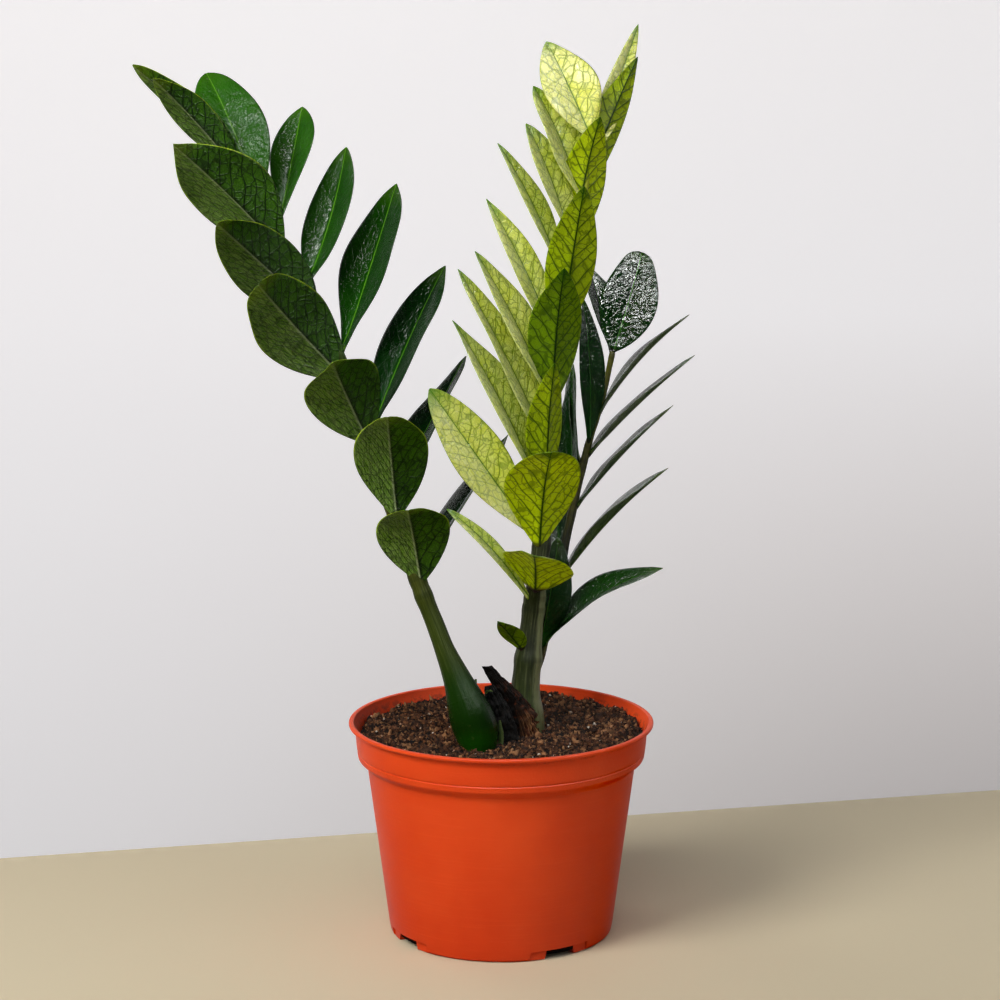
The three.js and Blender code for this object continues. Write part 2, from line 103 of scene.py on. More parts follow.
LEFT_FROND = {
    "vein_spacing": (6.0, 8.5),
    "vein_lean": (1.9, 0.95),
    "path": [
        (-11, -31, 80, 6.0), (-11, -33, 98, 5.8), (-12, -34, 107, 7.4), (-12, -34, 112, 9.6),
        (-13.2, -34, 119, 11.6), (-15.8, -33, 127, 11.8), (-19.6, -31, 137, 9.8),
        (-23.5, -29, 147, 7.5), (-30, -26, 162, 5.4), (-35, -23, 175, 4.9), (-40.8, -20, 189, 4.6),
        (-48.4, -16, 209, 4.2), (-58, -12, 234, 3.3), (-65, -9, 258, 2.9), (-73, -5, 285, 2.6),
        (-83, -2, 311, 2.4), (-96, 1, 337, 2.2), (-110, 4, 363, 2.0), (-123, 7, 387, 1.8),
        (-134, 10, 409, 1.5),
    ],
    "leaflets": [
        (190, (-48, -56, 243), 40, (-0.1, 0.85, 0.55), 8, 12, 0.50, 0.45, 0.30, 0.0),
        (225, (-58, -58, 292), 41, (-0.1, 0.85, 0.55), 7, 16, 0.50, 0.55, 0.25, 0.0),
        (265, (-86, -54, 320), 43, (-0.4, 0.75, 0.5), 9, 14, 0.50, 0.95, 0.20, 0.0),
        (300, (-124, -47, 359), 43, (-0.5, 0.85, 0.25), 9, 12, 0.50, 0.45, 0.15, 0.0),
        (336, (-145, -44, 390), 37, (-0.45, 0.85, 0.3), 11, 12, 0.40, 0.70, 0.10, 0.0),
        (368, (-169, -24, 429), 45, (0, 0.9, 0.4), 4, 12, 0.50, 1.00, 0.10, 0.0),
        (400, (-180, -12, 462), 21, (0, 0.95, 0.3), 7, 18, 0.60, 0.80, 0.05, 0.0),
        (400, (-193, 9, 468), 24, (0.45, 0.8, 0.45), 5, 18, 0.50, 0.65, 0.10, 0.0),
        (199, (4, 58, 264), 31, (-0.7, -0.15, 0.7), 0, 14, 0.45, 0.90, 0.00, 0.3),
        (239, (-19, 42, 310), 33, (-0.7, -0.35, 0.65), 0, 14, 0.40, 0.80, 0.00, 0.3),
        (273, (-30, 34, 360), 35, (-0.65, -0.55, 0.55), 2, 14, 0.55, 0.80, 0.00, 0.3),
        (315, (-56, 34, 404), 37, (-0.65, -0.65, 0.45), -1, 12, 0.55, 0.80, 0.05, 0.2),
        (351, (-83, 40, 423), 30, (-0.55, -0.7, 0.5), -4, 12, 0.50, 0.70, 0.10, 0.3),
        (379, (-107, 50, 444), 27, (-0.45, -0.7, 0.55), -1, 12, 0.65, 0.75, 0.25, 0.3),
        (394, (-158, 46, 462), 36, (0.1, -0.85, 0.5), 9, 10, 0.50, 0.60, 0.30, 1.0),
    ],
}

MIDDLE_FROND = {
    "vein_spacing": (9.4, 9.4),
    "vein_lean": (1.15, 1.15),
    "path": [
        (13, -2, 80, 8.0), (14, -1, 95, 9.0), (14, 0, 109, 9.4), (14, 0, 119, 9.2),
        (13, 2, 132, 8.0), (15, 4, 154, 6.8), (18, 7, 182, 5.5), (22, 10, 214, 4.6),
        (25, 13, 246, 3.4), (27, 15, 279, 2.9), (30, 17, 311, 2.6), (35, 18, 343, 2.4),
        (40, 20, 375, 2.1), (45, 22, 407, 1.9), (48, 23, 423, 1.7), (49.8, 24, 431, 1.5),
    ],
    "leaflets": [
        (150, (-2, -19, 176), 14, (0.2, 0.7, 0.7), 1, 8, 0.40, 0.95, 0.15, 0.0),
        (177, (-29, -10, 235), 11, (0.7, -0.65, 0.35), 6, 16, 0.50, 0.65, 0.45, 0.3),
        (211, (-38, -6, 299), 30, (0.35, -0.95, 0.1), -1, 12, 0.55, 0.65, 0.70, 0.6),
        (232, (-26, 6, 334), 32, (0.8, -0.5, 0.35), 4, 20, 0.50, 1.00, 0.65, 0.4),
        (262, (-23, 8, 361), 28, (0.75, -0.55, 0.35), 2, 20, 0.40, 0.80, 0.75, 0.4),
        (285, (-14, 12, 370), 26, (0.75, -0.6, 0.35), 3, 18, 0.50, 0.85, 0.75, 0.4),
        (315, (-8, 10, 398), 20, (0.6, -0.75, 0.2), 4, 18, 0.50, 0.95, 0.65, 0.4),
        (346, (-2, 14, 427), 18, (0.75, -0.6, 0.3), 4, 18, 0.55, 0.85, 0.60, 0.4),
        (366, (13, 16, 437), 26, (0.75, -0.6, 0.25), 3, 18, 0.60, 0.75, 0.65, 0.5),
        (394, (17, 30, 456), 28, (0.65, -0.7, 0.35), 3, 18, 0.50, 0.75, 0.70, 0.6),
        (426, (24, 40, 479), 32, (0.25, -0.9, 0.4), 2, 10, 0.50, 0.80, 0.90, 1.0),
        (183, (17, -46, 217), 40, (0.25, 0.5, 0.8), 3, 12, 0.40, 0.60, 0.85, 0.0),
        (202, (26, -42, 271), 43, (-0.15, 0.8, 0.6), 7, 16, 0.55, 0.60, 0.95, 0.0),
        (239, (28, -15, 314), 25, (-0.5, 0.8, 0.3), 2, 24, 0.45, 0.85, 0.55, 0.0),
        (281, (33, -16, 364), 30, (-0.2, 0.9, 0.35), 5, 14, 0.50, 0.85, 0.10, 0.0),
        (321, (43, -22, 407), 27, (-0.05, 0.95, 0.35), 3, 12, 0.45, 0.75, 0.50, 0.0),
        (368, (52, 8, 441), 26, (-0.2, 0.9, 0.35), 6, 14, 0.45, 0.80, 0.80, 0.0),
        (400, (73, 42, 471), 20, (-0.45, 0.85, -0.2), 3, 16, 0.45, 0.85, 0.60, 0.0),
        (419, (75, 84, 487), 15, (0.45, -0.85, 0.3), 1, 14, 0.40, 0.80, 0.80, 0.2),
    ],
}

BACK_FROND = {
    "vein_spacing": (6.0, 6.0),
    "vein_lean": (1.4, 1.4),
    "path": [
        (8, 28, 80, 6.0), (9, 29, 95, 6.2), (9.5, 30, 111, 5.8), (13, 33, 123, 4.9),
        (18.6, 36, 139, 3.9), (22.6, 38, 152, 3.6), (26.8, 41, 167, 3.3), (31.8, 45, 188, 2.8),
        (36, 48, 208, 2.4), (41, 51, 230, 2.1), (45.2, 53, 248, 2.0), (49.4, 54, 264, 1.8),
        (56, 56, 286, 1.7), (61, 58, 309, 1.5),
    ],
    "leaflets": [
        (145, (88, 18, 197), 27, (-0.65, -0.25, 0.7), 8, 22, 0.55, 0.95, 0.15, 0.3),
        (180, (92, 48, 247), 35, (-0.75, 0.1, 0.65), 4, 12, 0.50, 0.90, 0.15, 0.3),
        (221, (95, 60, 280), 25, (-0.75, 0.05, 0.7), 2, 10, 0.45, 0.85, 0.10, 0.3),
        (250, (107, 66, 307), 26, (-0.7, 0.05, 0.75), 2, 10, 0.40, 0.80, 0.10, 0.3),
        (272, (104, 70, 329), 26, (-0.75, 0.05, 0.65), 4, 10, 0.45, 0.65, 0.10, 0.3),
        (143, (31, 28, 212), 23, (0.2, -0.95, -0.15), 4, 16, 0.50, 0.65, 0.00, 0.4),
        (197, (31, 96, 233), 30, (-0.4, -0.55, 0.75), 4, 16, 0.50, 0.80, 0.05, 0.4),
        (227, (40, 66, 302), 22, (-0.85, -0.5, 0.1), 1, 16, 0.40, 0.90, 0.05, 0.4),
        (245, (39, 84, 302), 23, (-1, -0.15, 0), 2, 16, 0.40, 0.85, 0.05, 0.4),
        (258, (44, 46, 342), 18, (0.6, -0.8, -0.05), 4, 14, 0.50, 0.85, 0.00, 0.6),
        (308, (49, 84, 354), 21, (0.6, -0.6, 0.5), 0, 18, 0.60, 0.85, 0.05, 0.6),
        (307, (78, 84, 362), 32, (0.15, -0.9, 0.4), 5, 8, 0.45, 0.45, 0.05, 1.0),
    ],
}

# ---------------------------------------------------------------- node trees


def srgb(red, green, blue):
    """A colour as it looks on screen, 0 to 255, in the linear values that shaders take."""
    def linear(value):
        share = value / 255
        return share / 12.92 if share <= 0.04045 else ((share + 0.055) / 1.055) ** 2.4
    return (linear(red), linear(green), linear(blue), 1)


class Graph:
    """A material's node tree. Its calls return output sockets."""

    def __init__(self, name):
        self.material = bpy.data.materials.new(name)
        self.material.use_nodes = True
        self.tree = self.material.node_tree
        self.tree.nodes.clear()
        self.shader = self.node("BsdfPrincipled")
        out = self.node("OutputMaterial")
        self.tree.links.new(self.shader.outputs["BSDF"], out.inputs["Surface"])

    def put(self, socket, value):
        if isinstance(value, bpy.types.NodeSocket):
            self.tree.links.new(value, socket)
        else:
            socket.default_value = value

    def node(self, kind, *values, **settings):
        """A new node with its settings and with its inputs filled in their order."""
        node = self.tree.nodes.new(f"ShaderNode{kind}")
        for name, setting in settings.items():
            setattr(node, name, setting)
        for socket, value in zip(node.inputs, values):
            self.put(socket, value)
        return node

    def fill(self, node, **values):
        """Fills inputs by name and returns the first output."""
        for name, value in values.items():
            self.put(node.inputs[name], value)
        return node.outputs[0]

    def attribute(self, name):
        return self.node("Attribute", attribute_name=name).outputs["Vector"]

    def position(self):
        return self.node("TexCoord").outputs["Object"]

    def split(self, vector):
        return tuple(self.node("SeparateXYZ", vector).outputs)

    def combine(self, x, y, z):
        return self.node("CombineXYZ", x, y, z).outputs[0]

    def stretch(self, vector, *factors):
        """A place with scaled axes, for a pattern that is drawn out along one of them."""
        return self.node("VectorMath", vector, factors, operation="MULTIPLY").outputs[0]

    def math(self, operation, *values):
        return self.node("Math", *values, operation=operation).outputs[0]

    def minus(self, a, b):
        return self.math("SUBTRACT", a, b)

    def times(self, product, *factors):
        for factor in factors:
            product = self.math("MULTIPLY", product, factor)
        return product

    def scaled(self, value, factor, offset):
        """value * factor + offset"""
        return self.math("MULTIPLY_ADD", value, factor, offset)

    def step(self, value, low, high):
        """0 below low, 1 above high and smooth between; low above high turns it round."""
        sockets = [end for end in (low, high) if isinstance(end, bpy.types.NodeSocket)]
        turned = not sockets and low > high
        ends = (high, low, 1.0, 0.0) if turned else (low, high, 0.0, 1.0)
        return self.node("MapRange", value, *ends, interpolation_type="SMOOTHSTEP").outputs[0]

    def blend(self, factor, a, b, mode="MIX"):
        """Two colours mixed. Three numbers are a colour as srgb takes it."""
        node = self.node("Mix", factor, data_type="RGBA", blend_type=mode)
        for socket, colour in zip(node.inputs[6:8], (a, b)):
            plain = isinstance(colour, tuple) and len(colour) == 3
            self.put(socket, srgb(*colour) if plain else colour)
        return node.outputs[2]

    def cover(self, below, colour, *masks):
        """A colour laid over another as strongly as the product of the masks."""
        return self.blend(self.times(*masks), below, colour)

    def noise(self, vector, scale, detail=2.0, roughness=0.5):
        return self.fill(self.node("TexNoise"), Vector=vector, Scale=scale, Detail=detail,
                         Roughness=roughness)

    def cells(self, vector, scale):
        """Distance to the edges of a pattern of cells."""
        return self.fill(self.node("TexVoronoi", feature="DISTANCE_TO_EDGE"), Vector=vector,
                         Scale=scale)

    def bump(self, height, distance, **normal):
        return self.fill(self.node("Bump"), Strength=1.0, Distance=distance, Height=height, **normal)

    def finish(self, colour, rough, specular=0.5, relief=None, depth=0.0):
        """Sets colour, roughness, specular level and relief, and returns the material."""
        self.fill(self.shader, **{"Base Color": colour, "Roughness": rough,
                                  "Specular IOR Level": specular})
        if relief is not None:
            self.fill(self.shader, Normal=self.bump(relief, depth))
        return self.material

    def let_light_in(self, weight, radius, scale):
        self.fill(self.shader, **{"Subsurface Weight": weight, "Subsurface Radius": radius,
                                  "Subsurface Scale": scale})

    def glow(self, colour, strength):
        self.fill(self.shader, **{"Emission Color": colour, "Emission Strength": strength})


# ---------------------------------------------------------------- leaf materials


def vein_masks(g, metric, blade, across, look, frond):
    """Masks of midrib, side veins and net, from millimetres along and across the blade."""
    x, y, seed = g.split(metric)
    reach = g.math("ABSOLUTE", y)
    right = g.math("GREATER_THAN", y, 0.0)
    left_spacing, right_spacing = frond["vein_spacing"]
    left_lean, right_lean = frond["vein_lean"]
    spacing = g.scaled(right, right_spacing - left_spacing, left_spacing)
    lean = g.scaled(right, right_lean - left_lean, left_lean)
    line = g.minus(g.minus(x, g.times(reach, lean)), g.times(reach, reach, VEIN_BEND))
    line = g.scaled(right, VEIN_OFFSET, line)
    turn = g.math("FRACT", g.math("DIVIDE", line, spacing))
    off = g.times(g.math("ABSOLUTE", g.minus(turn, 0.5)), spacing)
    from_middle = g.minus(g.times(spacing, 0.5), off)
    between = g.step(from_middle, 0.8 * look["vein_width"], 0.05)
    width = g.scaled(g.math("ABSOLUTE", across), -0.4 * look["vein_width"], look["vein_width"])
    side = g.minus(1.0, g.step(off, 0.06, width))
    rib_width = g.scaled(blade, -0.65 * look["rib_width"], look["rib_width"])
    rib = g.minus(1.0, g.step(reach, 0.1, rib_width))
    wobble = g.times(g.noise(metric, 0.45, 1.0), NET_WOBBLE)
    net_place = g.combine(g.math("DIVIDE", g.math("ADD", x, wobble), look["mesh"]),
                          g.math("DIVIDE", g.minus(y, wobble), look["mesh"]), seed)
    net = g.step(g.cells(net_place, 1.0), 0.1, 0.01)
    fine = g.step(g.cells(metric, 1 / 1.3), 0.2, 0.02)
    total = rib
    for mask, key in ((side, "side"), (between, "between"), (net, "net"), (fine, "fine")):
        total = g.math("MAXIMUM", total, g.times(mask, look[key]))
    halo = g.math("MAXIMUM", g.step(off, 0.2 * left_spacing, 0.0), g.step(reach, 2.6, 0.0))
    return rib, side, net, fine, total, halo


def leaf_material(name, look, frond):
    """Leaf surface with midrib, side veins, fine net, pale margin and green or yellow body, with painted
    sheen, glow and shade on parts of the blade.
    """
    g = Graph(name)
    metric = g.attribute("metric")
    _, y, _ = g.split(metric)
    blade, across, hue = g.split(g.attribute("share"))
    gloss, tone, _ = g.split(g.attribute("trait"))
    rib, side, net, fine, veins, halo = vein_masks(g, metric, blade, across, look, frond)
    streaks = g.noise(g.stretch(metric, 0.1, 1.1, 1.0), 1.0, 3.0, 0.7)
    patches = g.noise(metric, 0.05, 3.0, 0.6)
    mottle = g.noise(metric, 1.1, 3.0, 0.7)

    def hued(part):
        green, yellow = look[part]
        return g.blend(hue, green, yellow)

    body = g.cover(hued("body"), hued("patch"), g.step(patches, 0.38, 0.66), 0.7)
    # painted glow: a brighter green near the foot of the midrib
    near_rib = g.step(g.math("ABSOLUTE", y), 5.0, 0.0)
    body = g.cover(body, hued("glow"), near_rib, g.step(blade, 0.7, 0.05), look["glow_cover"])
    shade = g.times(g.scaled(mottle, look["mottle"], 1 - 0.5 * look["mottle"]), tone)
    body = g.blend(1.0, body, g.combine(shade, shade, shade), "MULTIPLY")
    body = g.cover(body, hued("halo"), halo, look["halo_cover"])
    body = g.cover(body, hued("vein"), veins, look["vein_cover"])
    # painted shade: the blade's half on the +y side is darkened
    shaded_half = g.blend(1.0, body, look["half_shade"], "MULTIPLY")
    body = g.cover(body, shaded_half, g.step(y, -0.3, 0.6), look["half_shade_cover"])
    # painted sheen: a paler colour in streaks on one half of the blade
    lit_half = g.step(g.times(y, look["sheen_side"]), 0.0, 1.2)
    sheen = g.step(streaks, look["sheen_from"], look["sheen_full"])
    body = g.cover(body, look["sheen"], lit_half, sheen, look["sheen_cover"])
    body = g.cover(body, hued("vein"), veins, look["vein_over"])
    body = g.cover(body, hued("rib"), rib, look["rib_cover"])
    # painted light and shade on the two sides of the raised midrib: paler on the -y side, darker on the +y
    # side
    keel_shading = g.times(g.scaled(blade, -0.7, 1.0), look["keel_shading_cover"])
    body = g.cover(body, look["keel_painted_lit_side"], g.step(y, -1.3, -0.7), g.step(y, 0.0, -0.3), keel_shading)
    body = g.cover(body, look["keel_painted_shade_side"], g.step(y, -0.1, 0.2), g.step(y, 2.2, 0.5), keel_shading)
    body = g.cover(body, look["tip"], g.step(blade, 0.82, 1.0), look["tip_cover"])
    rim = g.step(g.math("ABSOLUTE", across), 0.955, 0.99)
    body = g.cover(body, look["margin"], rim, g.step(blade, 0.3, 0.75), look["margin_cover"])
    body = g.cover(body, look["stalk"], g.step(blade, look["stalk_reach"], 0.3 * look["stalk_reach"]))
    rough = g.scaled(mottle, 0.04, g.scaled(gloss, -look["polish"], look["roughness"]))
    if look["through"]:
        g.let_light_in(look["through"], (0.9, 1.0, 0.15), 0.0014)
    relief = g.times(g.scaled(net, 0.6, side), look["vein_relief"])
    relief = g.scaled(fine, 0.25 * look["vein_relief"], relief)
    wrinkles = g.scaled(lit_half, 0.9 * look["streaks"], 0.1 * look["streaks"])
    relief = g.scaled(streaks, wrinkles, relief)
    relief = g.scaled(mottle, look["grain"], relief)
    dents = g.scaled(g.noise(metric, 0.42, 1.0), 0.6, g.noise(metric, 0.16, 1.0))
    relief = g.scaled(g.times(dents, gloss, gloss), look["pucker"], relief)
    return g.finish(body, rough, look["specular"], relief, LEAF_RELIEF)


# Colour pairs are for hue 0 and hue 1, widths are in millimetres, and each cover says how
# strongly a colour lies over what is below it. The sheen is painted sheen on one half of the blade.
DARK_UPPER = dict(
    body=((2, 38, 1), (74, 156, 14)), patch=((1, 26, 1), (50, 132, 10)),
    vein=((14, 60, 5), (90, 166, 26)), rib=((84, 144, 32), (116, 188, 40)),
    halo=((3, 42, 1), (74, 156, 14)), glow=((8, 80, 1), (96, 184, 14)),
    tip=(80, 124, 14), margin=(80, 112, 42), stalk=(96, 146, 42), sheen=(64, 96, 60),
    half_shade=(0.8, 0.85, 0.8, 1), keel_painted_lit_side=(84, 144, 32), keel_painted_shade_side=(2, 30, 1),
    mesh=3.4, vein_width=0.35, rib_width=0.7, side=0.95, net=0.3, between=0.0, fine=0.1,
    vein_cover=0.3, vein_over=0.0, rib_cover=0.85, halo_cover=0.2, glow_cover=0.55,
    keel_shading_cover=0.0, tip_cover=0.2, margin_cover=0.4, stalk_reach=0.035, half_shade_cover=0.0,
    sheen_side=-1.0, sheen_from=0.42, sheen_full=0.7, sheen_cover=0.2, mottle=0.3,
    roughness=0.1, polish=0.02, specular=0.17, through=0.0, vein_relief=-0.5,
    streaks=1.2, grain=0.1, pucker=3.5,
)
DARK_LOWER = dict(
    DARK_UPPER,
    body=((66, 110, 14), (108, 140, 20)), patch=((48, 88, 8), (86, 118, 12)),
    vein=((6, 24, 1), (16, 40, 2)), rib=((20, 44, 5), (190, 210, 150)),
    halo=((46, 76, 6), (66, 96, 8)), tip=(150, 178, 30), margin=(184, 216, 30), stalk=(84, 92, 60),
    sheen=(142, 168, 98), half_shade=(0.6, 0.75, 0.55, 1), keel_painted_lit_side=(150, 165, 120),
    keel_painted_shade_side=(10, 26, 1), mesh=5.2, vein_width=0.8, rib_width=0.6, net=0.7, between=0.25, fine=0.3,
    vein_cover=0.92, vein_over=0.45, rib_cover=0.6, halo_cover=0.45, glow_cover=0.0,
    keel_shading_cover=0.85, margin_cover=0.85, half_shade_cover=1.0, sheen_from=0.3, sheen_full=0.75,
    sheen_cover=0.55, mottle=0.6, roughness=0.42, specular=0.12, vein_relief=1.8, streaks=0.0,
    grain=0.8, pucker=0.0,
)
YELLOW_UPPER = dict(
    DARK_UPPER,
    body=((124, 166, 14), (255, 255, 140)), patch=((100, 148, 6), (244, 246, 80)),
    vein=((40, 84, 1), (78, 120, 6)), rib=((84, 128, 54), (86, 126, 44)),
    halo=((96, 146, 4), (200, 216, 44)), glow=((150, 188, 20), (255, 255, 140)),
    tip=(52, 122, 6), margin=(104, 150, 12), stalk=(116, 142, 34), sheen=(252, 255, 206),
    mesh=4.4, vein_width=0.5, rib_width=0.75, net=0.62, fine=0.2, vein_cover=0.85, vein_over=0.15,
    rib_cover=0.8, halo_cover=0.35, glow_cover=0.2, tip_cover=0.7, margin_cover=0.6,
    sheen_side=1.0, sheen_from=0.2, sheen_full=0.8, sheen_cover=0.55, roughness=0.3, polish=0.16,
    specular=0.35, through=0.5, vein_relief=-0.9, streaks=0.3, grain=0.3, pucker=2.0,
)
YELLOW_LOWER = dict(
    YELLOW_UPPER,
    body=((86, 126, 0), (204, 224, 16)), patch=((66, 104, 0), (184, 204, 4)),
    vein=((10, 36, 0), (30, 64, 0)), rib=((12, 40, 0), (24, 56, 0)),
    halo=((50, 84, 0), (120, 150, 0)), tip=(30, 76, 2), margin=(78, 112, 4), stalk=(38, 20, 24),
    mesh=5.4, vein_width=0.95, rib_width=1.2, net=0.6, fine=0.12, vein_cover=0.88, rib_cover=0.9,
    halo_cover=0.5, glow_cover=0.0, tip_cover=0.75, stalk_reach=0.1, sheen_cover=0.0,
    roughness=0.45, polish=0.0, specular=0.12, vein_relief=0.9, pucker=0.0,
)
SHADE_UPPER = dict(
    DARK_UPPER,
    body=((2, 44, 3), (40, 76, 22)), patch=((1, 28, 2), (30, 64, 14)),
    rib=((36, 80, 20), (116, 188, 40)), halo=((2, 38, 2), (74, 156, 14)), stalk=(24, 30, 14),
    glow_cover=0.3, margin_cover=0.3, sheen_cover=0.05, polish=0.04, specular=0.8, pucker=5.0,
)
SHADE_LOWER = dict(
    DARK_LOWER,
    body=((52, 68, 34), (108, 140, 20)), patch=((36, 52, 22), (86, 118, 12)),
    vein=((14, 22, 8), (16, 40, 2)), rib=((8, 14, 4), (190, 210, 150)),
    halo=((34, 48, 20), (66, 96, 8)), margin=(96, 110, 52), stalk=(26, 28, 18),
    keel_shading_cover=0.3, margin_cover=0.4, half_shade_cover=0.5, streaks=1.2,
)


# ---------------------------------------------------------------- meshes


def make_piece(name, vertices, faces, materials, node, indices=None, attributes=None):
    """A smooth mesh object from points in millimetres, riding on the root."""
    mesh = bpy.data.meshes.new(name)
    mesh.from_pydata((np.asarray(vertices, float) * MM).tolist(), [], faces)
    for material in materials:
        mesh.materials.append(material)
    if indices is not None:
        mesh.polygons.foreach_set("material_index", indices)
    for key, values in (attributes or {}).items():
        layer = mesh.attributes.new(key, "FLOAT_VECTOR", "POINT")
        layer.data.foreach_set("vector", np.asarray(values, float).ravel())
    mesh.polygons.foreach_set("use_smooth", [True] * len(mesh.polygons))
    mesh.update()
    mesh.validate()
    piece = bpy.data.objects.new(name, mesh)
    bpy.context.scene.collection.objects.link(piece)
    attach(piece, "root")
    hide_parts(node)
    return piece


class Parts:
    """Gathers vertices, faces, material numbers and attributes of many small bodies."""

    def __init__(self):
        self.vertices, self.faces, self.indices = [], [], []
        self.attributes = {}
        self.count = 0

    def add(self, vertices, faces, indices=None, **attributes):
        self.faces += [tuple(i + self.count for i in face) for face in faces]
        self.vertices.append(np.asarray(vertices, float))
        self.indices += indices or [0] * len(faces)
        for key, values in attributes.items():
            self.attributes.setdefault(key, []).append(values)
        self.count += len(vertices)

    def piece(self, name, materials, slot, node):
        attributes = {key: np.concatenate(rows) for key, rows in self.attributes.items()}
        make_piece(name, np.concatenate(self.vertices), self.faces, materials, node,
                   self.indices, attributes)


def ring_faces(count, size, start=0):
    """Faces between rings of points that follow each other."""
    faces = []
    for k in range(count - 1):
        for j in range(size):
            a, b = start + k * size + j, start + k * size + (j + 1) % size
            faces.append((a, b, b + size, a + size))
    return faces


def closed_faces(count, size):
    """The same with a flat face at both ends."""
    ends = [tuple(range(size))[::-1], tuple(range((count - 1) * size, count * size))]
    return ring_faces(count, size) + ends


def around(top, bottom=None):
    """The columns of an upper face, followed by the lower ones on the way back."""
    bottom = top if bottom is None else bottom
    return np.concatenate([top, bottom[:, -2:0:-1]], axis=1)


def layers(shape, *values):
    """Attribute rows from three grids or plain numbers."""
    return np.stack([np.broadcast_to(value, shape) for value in values], axis=2).reshape(-1, 3)


def polar(radius, angle, z=0.0):
    return radius * math.cos(angle), radius * math.sin(angle), z


def unit(vector):
    return vector / np.linalg.norm(vector)


def smoothstep(low, high, value):
    share = np.clip((value - low) / (high - low), 0, 1)
    return share * share * (3 - 2 * share)


def stem_at(path, height):
    """Point and radius of a centre line at a height."""
    rows = np.array(path, float)
    return np.array([np.interp(height, rows[:, 2], rows[:, k]) for k in range(4)])


def oval(u, belly, point):
    """Half width of a blade, widest at `belly`; `point` shapes its tip."""
    eased = np.power(np.clip(u, 0, 1), math.log(0.5) / math.log(belly))
    power = 0.85 + (point - 0.85) * smoothstep(0.5, 1, u)
    return np.power(np.sin(np.pi * np.clip(eased, 0, 1)), power)


